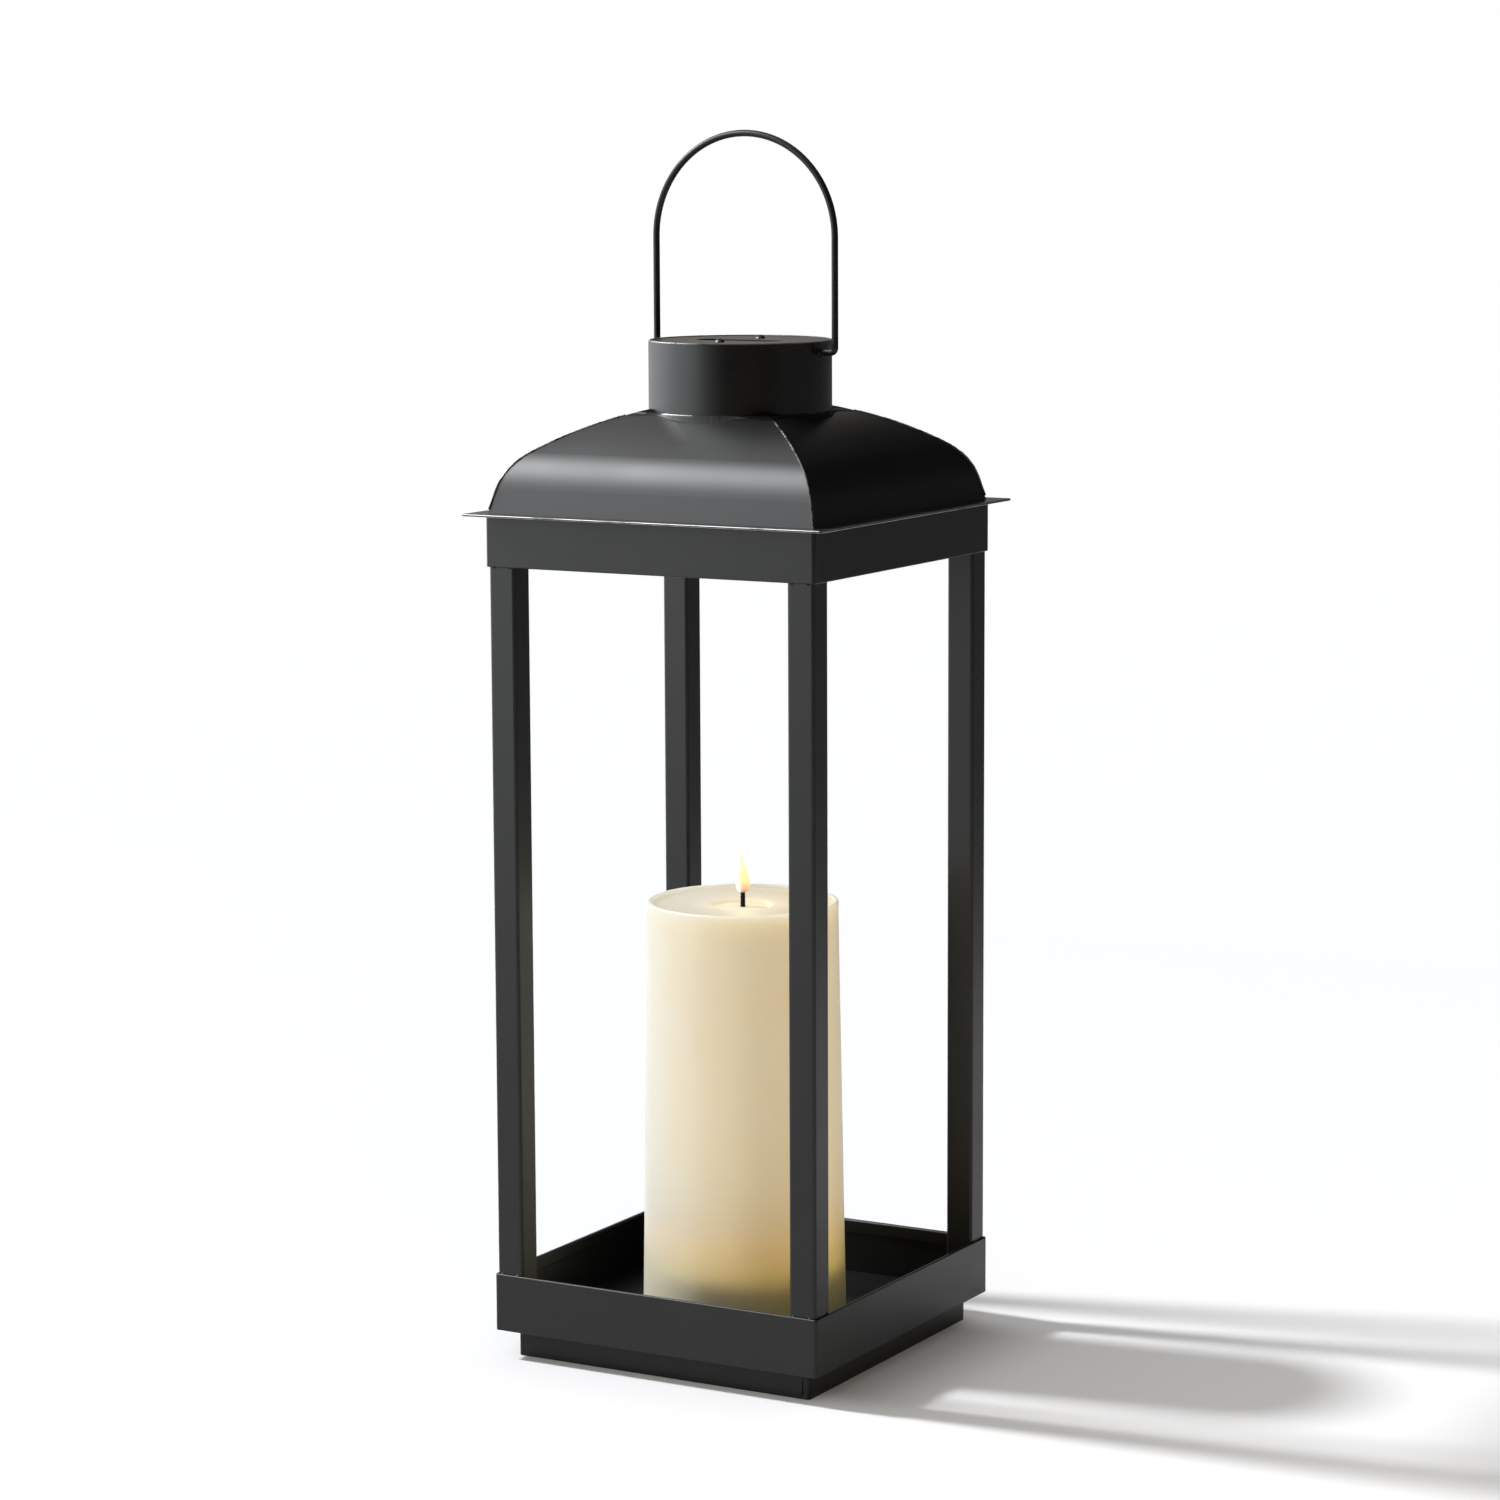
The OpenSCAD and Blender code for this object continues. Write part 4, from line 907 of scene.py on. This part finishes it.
bm = bmesh.new()
columns = []
for turn in turns(224):
    points = [Vector((radius * cos(turn), radius * sin(turn), height)) for radius, height in outline]
    columns.append([bm.verts.new(hand_poured(point)) for point in points])
join_rings(bm, columns, closed=True)
add_piece("candle_wax", bm, "candle", wax, ("wax_shell",))

# %% [markdown]
# ## Weld beads
# The roof is four panels welded along the hips, and the collar is welded into its crown. A bead is
# a string of small overlapping puddles. Sweeping a ring along the seam with a radius that swells and
# shrinks at each puddle gives that, and the ring stands half sunk in the corner that it fills. The
# seam's path is found by dropping rays on the roof panels, so it follows the real curve.

# %% Find the seams
roof_trees = []
for panel in ROOF_PANELS:
    mesh = nodes[panel].data
    points = [vert.co.copy() for vert in mesh.vertices]
    roof_trees.append(BVHTree.FromPolygons(points, [tuple(face.vertices) for face in mesh.polygons]))


def roof_height(x, y):
    """Height of the roof's outer skin over a point of the plan."""
    hits = [panel.ray_cast(Vector((x, y, 0.6)), -UP)[0] for panel in roof_trees]
    return max((hit.z for hit in hits if hit), default=None)


def beside_hip(along):
    """Height of the hip at a distance from the axis, read just beside the gap."""
    return roof_height(along - 0.35 * MM, along - 0.75 * MM)


RIPPLE_STEPS = 6


def puddled(size, puddles, seed):
    """A bead radius that swells at each puddle and never repeats exactly."""
    local = random.Random(seed)
    swell = [local.uniform(0.72, 1.0) for _ in range(puddles)]

    def radius(i):
        ripple = 0.5 + 0.5 * cos(2 * pi * i / RIPPLE_STEPS)
        return size * (0.80 + 0.20 * ripple) * swell[(i // RIPPLE_STEPS) % puddles]

    return radius


print("roof at the collar, side and corner:", roof_height(0, -48 * MM), beside_hip(34 * MM))

# %% [markdown]
# The collar is a plain tube with a straight end, but the crown it stands on is not flat: it falls
# away towards the middle of each side, and the hips run out from under the tube at the corners. The
# weld evens that out. It is a low fillet round most of the collar, and at each hip it is drawn out
# into a long tongue that was ground smooth. So it is built as a skin: rows of points run from the
# collar's wall down to the roof, a little under a degree apart, and turn back just under the roof.

# %% Collar weld
SEAM_TOP = 489.3 * MM
TONGUE_LONG, TONGUE_TURN = 14.5 * MM, radians(9)
FILLET_WIDE, FILLET_STEPS = 1.3 * MM, 9
UNDER_ROOF = 0.5 * MM
HIP_START = 34.2 * MM
PUDDLES = 88


def skin_height(spot):
    """Height of the roof at a spot of the plan: the panels are alike, so the larger of x and y tells."""
    return beside_hip(max(max(abs(spot.x), abs(spot.y)) + 0.35 * MM, HIP_START))


ripples = puddled(1.0, PUDDLES, 5)
bm = bmesh.new()
columns = []
for i, turn in enumerate(turns(RIPPLE_STEPS * PUDDLES)):
    way = Vector((cos(turn), sin(turn), 0))
    off_hip = abs(turn % (pi / 2) - pi / 4)
    tongue = exp(-((off_hip / TONGUE_TURN) ** 2))
    lump = ripples(i)
    wander = noise.noise(way * 3.1 + Vector((0, 0, 5)))
    reach = FILLET_WIDE * (0.75 + 0.3 * lump + 0.25 * wander) + TONGUE_LONG * tongue
    foot = COLLAR_RADIUS + 0.02 * MM
    under = skin_height(way * foot)
    top = max(SEAM_TOP, under + 0.25 * MM) + 0.12 * MM * wander + 0.18 * MM * (lump - 0.8)
    column = []
    for t in (0, *shares(FILLET_STEPS)):
        out = foot + reach * t
        swell = (0.10 + 0.16 * lump) * MM * sin(pi * t) * (1 - 0.6 * tongue)
        rise = (top - under) * (1 - t) ** 1.3 + swell
        column.append((way.x * out, way.y * out, skin_height(way * out) + rise - 0.06 * MM * t))
    out = foot + reach * 0.9
    column.append((way.x * out, way.y * out, skin_height(way * out) - UNDER_ROOF))
    column.append((way.x * foot, way.y * foot, under - UNDER_ROOF))
    columns.append([bm.verts.new(point) for point in column])
join_rings(bm, columns, closed=True)
add_piece("weld_collar", bm, "lantern", coat_seam)

# %% [markdown]
# The hips are ground down after welding, and the coat is thin on their crest. High up, where a hand or a
# cloth passes, it is blended nearly to bare steel and draws a bright line: partly wear, partly a painted
# highlight. So the beads have a finish of their own: the weld's coat, blended to bare steel by height and by
# a patchy noise.

# %% Hip finish
HIP_WEAR_AND_HIGHLIGHT_FROM, HIP_WEAR_AND_HIGHLIGHT_FULL = 468 * MM, 484 * MM
hip = blackened("coat_hip", 1.4, 1.5, 0.0009, 14.0, 0.10, 0.22)
patch = hip.place(clouds, Size=5.0, Break_Up=0.6)
# Partly wear, partly a painted highlight: the crest turns towards bare steel higher up.
high_up = hip.remap(hip.axes()["Z"], HIP_WEAR_AND_HIGHLIGHT_FROM, HIP_WEAR_AND_HIGHLIGHT_FULL, 0.12, 0.75)
show_steel(hip, hip.times(high_up, hip.remap(patch, 0.15, 0.45)), COAT_DARK)

# %% Hip beads
HIP_TOP, HIP_FOOT = 43.0 * MM, 93.6 * MM
HIP_PUDDLES = 22


def sweep(bm, path, radius, sides):
    """Rings along a path, joined into a tube. The radius is a function of the step."""
    rings = []
    for i, point in enumerate(path):
        along = (path[min(i + 1, len(path) - 1)] - path[max(i - 1, 0)]).normalized()
        side = along.cross(UP).normalized()
        up = side.cross(along)
        rings.append([bm.verts.new(point + radius(i) * (cos(t) * side + sin(t) * up)) for t in turns(sides)])
    join_rings(bm, rings, capped=True)


for corner, (sx, sy) in enumerate(CORNERS):
    path = []
    for t in (0, *shares(RIPPLE_STEPS * HIP_PUDDLES)):
        along = HIP_TOP + (HIP_FOOT - HIP_TOP) * t
        height = beside_hip(along)
        if height is not None:
            path.append(Vector((sx * (along - 0.1 * MM), sy * (along - 0.1 * MM), height - 0.12 * MM)))
    bm = bmesh.new()
    sweep(bm, path, puddled(0.62 * MM, HIP_PUDDLES, 20 + corner), sides=8)
    add_piece(f"weld_hip_{corner + 1}", bm, "lantern", hip)

# %% [markdown]
# Small tack welds hold the posts to the tray and to the upper band. They are drops of metal about a
# millimetre high, flattened where they touch the sheet, and never all the same. Each is an
# icosphere pressed along one axis and dented by noise, sitting in the corner that it holds.

# %% Tack welds
BAND_TOP, BAND_UNDER = 44.5 * MM, 412.5 * MM
POST_NEAR, POST_FAR = 78.8 * MM, 93.8 * MM


def tack(bm, where, size, seed):
    """One flattened, lumpy drop of weld metal."""
    for vert in bmesh.ops.create_icosphere(bm, subdivisions=3, radius=1.0)["verts"]:
        lump = 1 + 0.22 * noise.noise(vert.co * 1.7 + Vector((seed, 2 * seed, 0)))
        vert.co = vert.co * Vector(size) * lump + where


bm = bmesh.new()
drop = 0
for sx, sy in CORNERS:
    for level in (BAND_TOP + 0.2 * MM, BAND_UNDER - 0.2 * MM):
        for inset in (0.18, 0.80):
            across, out = POST_NEAR + (POST_FAR - POST_NEAR) * inset, POST_FAR - 0.1 * MM
            for x, y in ((across, out), (out, across)):
                drop += 1
                size = [chance.uniform(0.9, 1.5) * MM, 0.8 * MM, chance.uniform(0.35, 0.6) * MM]
                if x == out:
                    size[0], size[1] = size[1], size[0]
                tack(bm, Vector((sx * x, sy * y, level)), size, drop)
add_piece("weld_tacks", bm, "lantern", coat_weld)

# %% [markdown]
# ## The flame
# A battery candle has no fire: a frosted, flame-shaped lens sits on the wick and glows from a small lamp
# inside. The lens is full and round low down and drawn out to a thin tip that leans. A lathe can't lean, so
# rings of points are stacked one by one: each height has its own radius and its own sideways step, and the
# rings are joined into a skin.

# %% Flame finish
FLAME_FOOT, FLAME_TALL = 238.4 * MM, 22.5 * MM
FLAME_LEAN = 1.6 * MM
FLAME_COLUMN = (
    (0.00, (0.30, 0.16, 0.10)),
    (0.06, (0.78, 0.42, 0.25)),
    (0.15, (1.00, 0.62, 0.33)),
    (0.27, (1.00, 0.90, 0.38)),
    (0.42, (0.99, 0.99, 0.42)),
    (0.62, (0.95, 0.97, 0.60)),
    (0.85, (0.90, 0.93, 0.72)),
    (1.00, (0.96, 0.97, 0.90)),
)
lens = Finish("flame_lens", Roughness=0.35, IOR=1.45, Emission_Strength=1.0)
lens.feed(Base_Color=(0.05, 0.045, 0.03))
x, y, z = lens.axes()
rise = lens.remap(z, FLAME_FOOT, FLAME_FOOT + FLAME_TALL, shape="LINEAR")
column = lens.put("ValToRGB", {0: rise})
ramp = column.color_ramp
for i, (stop, colour) in enumerate(FLAME_COLUMN):
    element = ramp.elements[i] if i < 2 else ramp.elements.new(stop)
    element.position = stop
    element.color = (*colour, 1.0)
lean_back = lens.scaled(lens.times(rise, rise), FLAME_LEAN)
across = lens.plus(lens.plus(x, lean_back), lens.scaled(y, 0.55))
# Painted highlight: the glow turns pale on the side towards the key lamp and stands in for its light on the
# frosted lens. The base colour is near black.
painted_lit_side = lens.remap(across, 0.2 * MM, -2.6 * MM)
flicker = lens.place(clouds, Size=6.0, Break_Up=0.4)
painted_lit_side = lens.times(painted_lit_side, lens.scaled(flicker, 0.3, 0.8), clamp=True)
lens.feed(Emission_Color=lens.blend(painted_lit_side, column.outputs[0], (1.0, 1.0, 0.88)))
lens.raise_surface(lens.place(coat_grain, Peel_Size=1.5, Peel_Height=0.01))

# %% Flame lens
FLAME_WIDE, FLAME_GRIP = 3.7 * MM, 1.6 * MM
bm = bmesh.new()
rings = []
for t in (0, *shares(44)):
    body = FLAME_GRIP * (1 - t) ** 2 + (FLAME_WIDE - FLAME_GRIP / 2) * sin(pi * t**0.55)
    ring = []
    for turn in turns(40):
        lobe = 1 - 0.05 * (0.5 + 0.5 * noise.noise(Vector((cos(turn), sin(turn), 3 * t)) * 1.4))
        radius = max(body, 0.12 * MM) * lobe
        x = radius * cos(turn) - FLAME_LEAN * t * t
        ring.append(bm.verts.new((x, radius * sin(turn), FLAME_FOOT + FLAME_TALL * t)))
    rings.append(ring)
join_rings(bm, rings, capped=True)
add_piece("flame", bm, "candle", lens, ("flame_lens",))

# %% [markdown]
# The wick is a black sleeve, braided like a shoelace. Two sets of fine ridges wind round it in
# opposite directions, and they are modelled, because the wick stands out dark against pale wax and
# its outline shows.

# %% Wick
WICK_LOW, WICK_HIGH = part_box("wick")[0].z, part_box("wick")[1].z
WICK_RADIUS = 1.3 * MM
BRAID_STRANDS, BRAID_TWIST = 4, 2.2
wick = Finish("wick_black", Roughness=0.85, IOR=1.25)
soot = wick.place(clouds, Size=1.6, Break_Up=0.7)
wick.feed(Base_Color=wick.blend(soot, (0.003, 0.0025, 0.002), (0.014, 0.011, 0.008)))
wick.raise_surface(wick.place(coat_grain, Peel_Size=0.35, Peel_Height=0.03))
bm = bmesh.new()
rings = []
for t in (0, *shares(150)):
    z = WICK_LOW + (WICK_HIGH - WICK_LOW) * t
    ring = []
    for turn in turns(36):
        left = cos(BRAID_STRANDS * turn + z / MM * BRAID_TWIST)
        right = cos(BRAID_STRANDS * turn - z / MM * BRAID_TWIST)
        radius = WICK_RADIUS * (0.93 + 0.035 * left + 0.035 * right)
        ring.append(bm.verts.new((radius * cos(turn), radius * sin(turn), z)))
    rings.append(ring)
join_rings(bm, rings, capped=True)
add_piece("wick_sleeve", bm, "candle", wick, ("wick",))

# %% [markdown]
# ## Studio
# A product table: a pale floor, one small lamp high on the left, and white all round. The lamp is
# close, so the posts throw shadows that spread to the right with edges that are soft but clear. The
# rest of the light is a plain even fill from the world. The world is pure white for the camera and
# for reflections, and weaker for the light that it sheds.

# %% World
FILL = 0.33


def seen(graph):
    """1 for the eye, for mirrors and for glass, and 0 for light that is shed."""
    rays = graph.put("LightPath").outputs
    straight = graph.larger(rays["Is Camera Ray"], rays["Is Glossy Ray"])
    return graph.larger(straight, rays["Is Transmission Ray"])


world = bpy.data.worlds.new("studio")
scene.world = world
world.use_nodes = True
world.node_tree.nodes.clear()
sky = Graph(world.node_tree)
backdrop = sky.put("Background", {"Color": (1, 1, 1), "Strength": sky.scaled(seen(sky), 1.0 - FILL, FILL)})
sky.put("OutputWorld", {"Surface": backdrop.outputs[0]})
print("world fill", FILL)

# %% Key lamp
KEY_PLACE = Vector((-1300, -200, 1370)) * MM
KEY_AIM = Vector((0, 0, 250)) * MM
KEY_SIZE = 200 * MM
KEY_POWER = 9.6


def flat_lamp(name, shape, wide, tall, power, where, aim):
    """An area lamp that faces a point."""
    data = bpy.data.lights.new(name, "AREA")
    data.shape, data.size, data.size_y, data.energy = shape, wide, tall, power
    lamp = new_object(name, data)
    lamp.location = where
    lamp.rotation_mode = "QUATERNION"
    lamp.rotation_quaternion = (aim - where).to_track_quat("-Z", "Y")
    print(name, power, "W")
    return lamp


key_data = flat_lamp("key_lamp", "DISK", KEY_SIZE, KEY_SIZE, KEY_POWER, KEY_PLACE, KEY_AIM).data
key_data.use_nodes = True
key_graph = Graph(key_data.node_tree)
even = key_graph.put("LightFalloff", {"Strength": 1.0}).outputs["Constant"]
key_graph.set(key_data.node_tree.nodes["Emission"].inputs["Strength"], even)

# %% [markdown]
# A black object is lit by what it reflects. Round the table stands a ring of tall cards: a bright
# soft panel on the left, and black cloth on the camera's side, on the right and behind. They shape
# the coat: one side of the lantern reads grey, the other nearly black, and the round collar shows
# the whole ring in a few centimetres. A round panel hangs overhead on the left and draws the soft
# highlight along the roof's shoulder. Only reflections see the cards. They cast no light and no
# shadow, and the camera looks through them.

# %% Card cloth
CARD_COOL, CARD_WARM = Vector((0.955, 0.98, 1.0)), Vector((1.0, 0.92, 0.83))
card_finish = bpy.data.materials.new("card_cloth")
card_finish.use_nodes = True
card_finish.node_tree.nodes.clear()
cloth = Graph(card_finish.node_tree)
light = cloth.put("Attribute", attribute_name="card_light").outputs["Color"]
panel = cloth.put("Emission", {"Color": light, "Strength": 1.0})
cloth.put("OutputMaterial", {"Surface": panel.outputs[0]})
print("finish:", card_finish.name)


def card_corner(bm, place, shade, warmth=0.0):
    """A corner of a card with its light: a shade of cool white, or of the warm wall behind."""
    corner = bm.verts.new(place)
    lights = bm.verts.layers.float_color.get("card_light")
    corner[lights] = (*(shade * CARD_COOL.lerp(CARD_WARM, warmth)), 1.0)
    return corner


def new_card():
    """An empty card whose corners can carry light."""
    bm = bmesh.new()
    bm.verts.layers.float_color.new("card_light")
    return bm


def stand_card(name, bm):
    """A card that only reflections can see."""
    card = new_mesh(name, bm, card_finish)
    for ray_kind in ("camera", "diffuse", "transmission", "volume_scatter", "shadow"):
        setattr(card, "visible_" + ray_kind, False)
    print("card:", name)


# %% Reflection cards
CARD_LEVELS = (0.0, 350 * MM, 650 * MM, 1250 * MM, 2600 * MM)
CARD_FROM, CARD_STEP = -130, 2
WALL_FROM, WALL_BLEND = 188, 14
# Azimuth in degrees, measured like the camera's own turn, the card's distance, and how bright it
# is low down, at the height of the roof and high up
CARD_SHADES = (
    (CARD_FROM, 2.00, 1.00, 1.00, 1.00),
    (-112, 2.00, 1.50, 1.50, 1.50),
    (-95, 2.00, 2.60, 2.60, 2.60),
    (-75, 2.00, 3.60, 3.60, 4.00),
    (-55, 2.00, 3.30, 3.50, 5.00),
    (-34, 2.00, 2.80, 3.40, 6.00),
    (-12, 2.00, 0.75, 0.75, 1.50),
    (8, 2.10, 0.00, 0.00, 0.00),
    (58, 2.10, 0.00, 0.00, 0.00),
    (85, 1.30, 0.25, 0.14, 0.02),
    (135, 1.15, 0.20, 0.05, 0.01),
    (165, 1.15, 0.18, 0.03, 0.00),
    (190, 1.15, 0.18, 0.03, 0.00),
    (205, 1.20, 0.40, 0.60, 0.50),
    (222, 1.40, 0.50, 0.60, 0.50),
    (CARD_FROM + 360, 2.00, 1.00, 1.00, 1.00),
)


def card_at(azimuth):
    """Distance of the ring at an azimuth, and its three shades."""
    for first, second in zip(CARD_SHADES, CARD_SHADES[1:]):
        if first[0] <= azimuth <= second[0]:
            t = (azimuth - first[0]) / (second[0] - first[0])
            return [a + (b - a) * t for a, b in zip(first[1:], second[1:])]


bm = new_card()
columns = []
for azimuth in range(CARD_FROM, CARD_FROM + 360 + CARD_STEP, CARD_STEP):
    distance, low, middle, high = card_at(azimuth)
    warmth = min(1.0, max(0.0, (azimuth - WALL_FROM) / WALL_BLEND))
    column = []
    for z, shade in zip(CARD_LEVELS, (low, low, middle, high, high)):
        column.append(card_corner(bm, beside_lantern(radians(azimuth), distance, z), shade, warmth))
    columns.append(column)
join_rings(bm, columns, wrap=False)
stand_card("reflection_cards", bm)

# %% Overhead panel
PANEL_TURN, PANEL_RISE = radians(-53), radians(47)
PANEL_AWAY, PANEL_RADIUS, PANEL_SHADE = 1.15, 0.50, 20.0
PANEL_SIDES = 48
panel_way = beside_lantern(PANEL_TURN, cos(PANEL_RISE), sin(PANEL_RISE))
panel_middle = Vector((0, 0, 0.48)) + panel_way * PANEL_AWAY
panel_side = panel_way.cross(UP).normalized()
panel_up = panel_side.cross(panel_way)
bm = new_card()
hub = card_corner(bm, panel_middle, PANEL_SHADE)
rings = []
for share, bright in ((0.35, 1.0), (0.7, 0.5), (1.0, 0.0)):
    reach = PANEL_RADIUS * share
    ways = [cos(turn) * panel_side + sin(turn) * panel_up for turn in turns(PANEL_SIDES)]
    rings.append([card_corner(bm, panel_middle + reach * way, PANEL_SHADE * bright) for way in ways])
for i in range(PANEL_SIDES):
    bm.faces.new((hub, rings[0][i], rings[0][(i + 1) % PANEL_SIDES]))
join_rings(bm, rings)
stand_card("overhead_panel", bm)

# %% [markdown]
# A pale reflector stands low on the right and opens up the candle's shaded side with slightly warm
# light. It is a large lamp, so it casts no shadow of its own that the eye could find, and the coat
# does not mirror it.

# %% Warm reflector
PALE_WIDE, PALE_TALL, PALE_POWER = 900 * MM, 200 * MM, 12.0
PALE_AIM = Vector((0, 0, 130)) * MM
PALE_PLACE = beside_lantern(radians(45), 1500 * MM, PALE_AIM.z)
WARM_LIGHT = (1.0, 0.78, 0.40)
pale = flat_lamp("warm_reflector", "RECTANGLE", PALE_WIDE, PALE_TALL, PALE_POWER, PALE_PLACE, PALE_AIM)
pale.data.color = WARM_LIGHT
pale.visible_glossy = False

# %% [markdown]
# The candle's own lamp is weak beside the key lamp, but it warms the wax right round the wick. A
# very small warm lamp in the flame does the same. It hangs on the candle's body, so that it goes
# along when the candle is lifted out.

# %% Flame glow
GLOW_POWER, GLOW_SIZE, GLOW_HIGH = 0.012, 4 * MM, 250 * MM
GLOW_LIGHT = (1.0, 0.78, 0.42)
glow_data = bpy.data.lights.new("flame_glow", "POINT")
glow_data.energy, glow_data.color, glow_data.shadow_soft_size = GLOW_POWER, GLOW_LIGHT, GLOW_SIZE
glow_lamp = new_object("flame_glow", glow_data)
glow_lamp.parent = frame["bodies"]["candle"]
glow_lamp.location = (0, 0, GLOW_HIGH)
bpy.data.objects["flame"].visible_shadow = False
print("flame glow", GLOW_POWER, "W")

# %% [markdown]
# The floor is a large pale sheet. Its colour is nearly white, and for the eye it fades to the plain white of
# the backdrop away from the lantern, so that there is no horizon. Close to the lantern it is an ordinary
# matt surface that keeps every shadow. Beside the foot, on the side away from the key lamp, its colour is
# painted grey: a painted contact shadow that deepens the real one.

# %% Floor finish
FLOOR_WHITE, PAINTED_SHADOW_GREY = (0.889, 0.900, 0.932), (0.52, 0.524, 0.536)
SHADOW_NEAR, SHADOW_FULL, SHADOW_FAR, SHADOW_WIDE, SHADOW_CORE = 60 * MM, 80 * MM, 165 * MM, 96 * MM, 62 * MM
ground = Finish("floor_sheet", Roughness=0.9, Specular_IOR_Level=0.1)
x, y, z = ground.axes()
# Painted contact shadow: beside the foot, on the side away from the key lamp, the floor's colour greys and
# deepens the lantern's real shadow there.
painted_shadow = ground.remap(x, SHADOW_FAR, SHADOW_FULL - 10 * MM)
painted_shadow = ground.times(painted_shadow, ground.remap(x, SHADOW_NEAR, SHADOW_FULL))
painted_shadow = ground.times(painted_shadow, ground.remap(ground.size_of(y), SHADOW_WIDE, SHADOW_CORE))
ground.feed(Base_Color=ground.blend(painted_shadow, FLOOR_WHITE, PAINTED_SHADOW_GREY))

# The key lamp's light at a spot: its power, spread over the way to the lamp and by two slants
from_key = {0: ground.spot(), 1: KEY_PLACE}
from_key = ground.put("VectorMath", from_key, operation="SUBTRACT").outputs[0]
away = ground.put("VectorMath", {0: from_key}, operation="LENGTH").outputs["Value"]
facing = ground.dot(from_key, (KEY_AIM - KEY_PLACE).normalized())
key_here = ground.over(facing, ground.times(away, away))
key_here = ground.scaled(key_here, KEY_POWER * KEY_PLACE.z / pi**2, FILL + 0.04)
top_up = ground.scaled(key_here, -FLOOR_WHITE[0], 1.01, clamp=True)
# The white top-up is also taken away under the painted contact shadow.
top_up = ground.times(top_up, ground.minus(1.0, painted_shadow))
top_up = ground.times(top_up, seen(ground))
white = ground.put("Emission", {"Color": (1, 1, 1), "Strength": top_up}).outputs[0]
fade = ground.put("AddShader", {0: ground.shader.outputs[0], 1: white}).outputs[0]
ground.set(ground.tree.nodes["Material Output"].inputs["Surface"], fade)

# %% Floor
FLOOR_RINGS = (0.5, 1.0, 2.0, 4.0, 8.0, 14.0)
FLOOR_SIDES = 48
bm = bmesh.new()
rings = []
for reach in FLOOR_RINGS:
    rings.append([bm.verts.new((reach * cos(turn), reach * sin(turn), 0)) for turn in turns(FLOOR_SIDES)])
bm.faces.new(rings[0])
join_rings(bm, rings[::-1])
floor = new_mesh("floor", bm, ground.material)
print("floor reaches", FLOOR_RINGS[-1], "m")
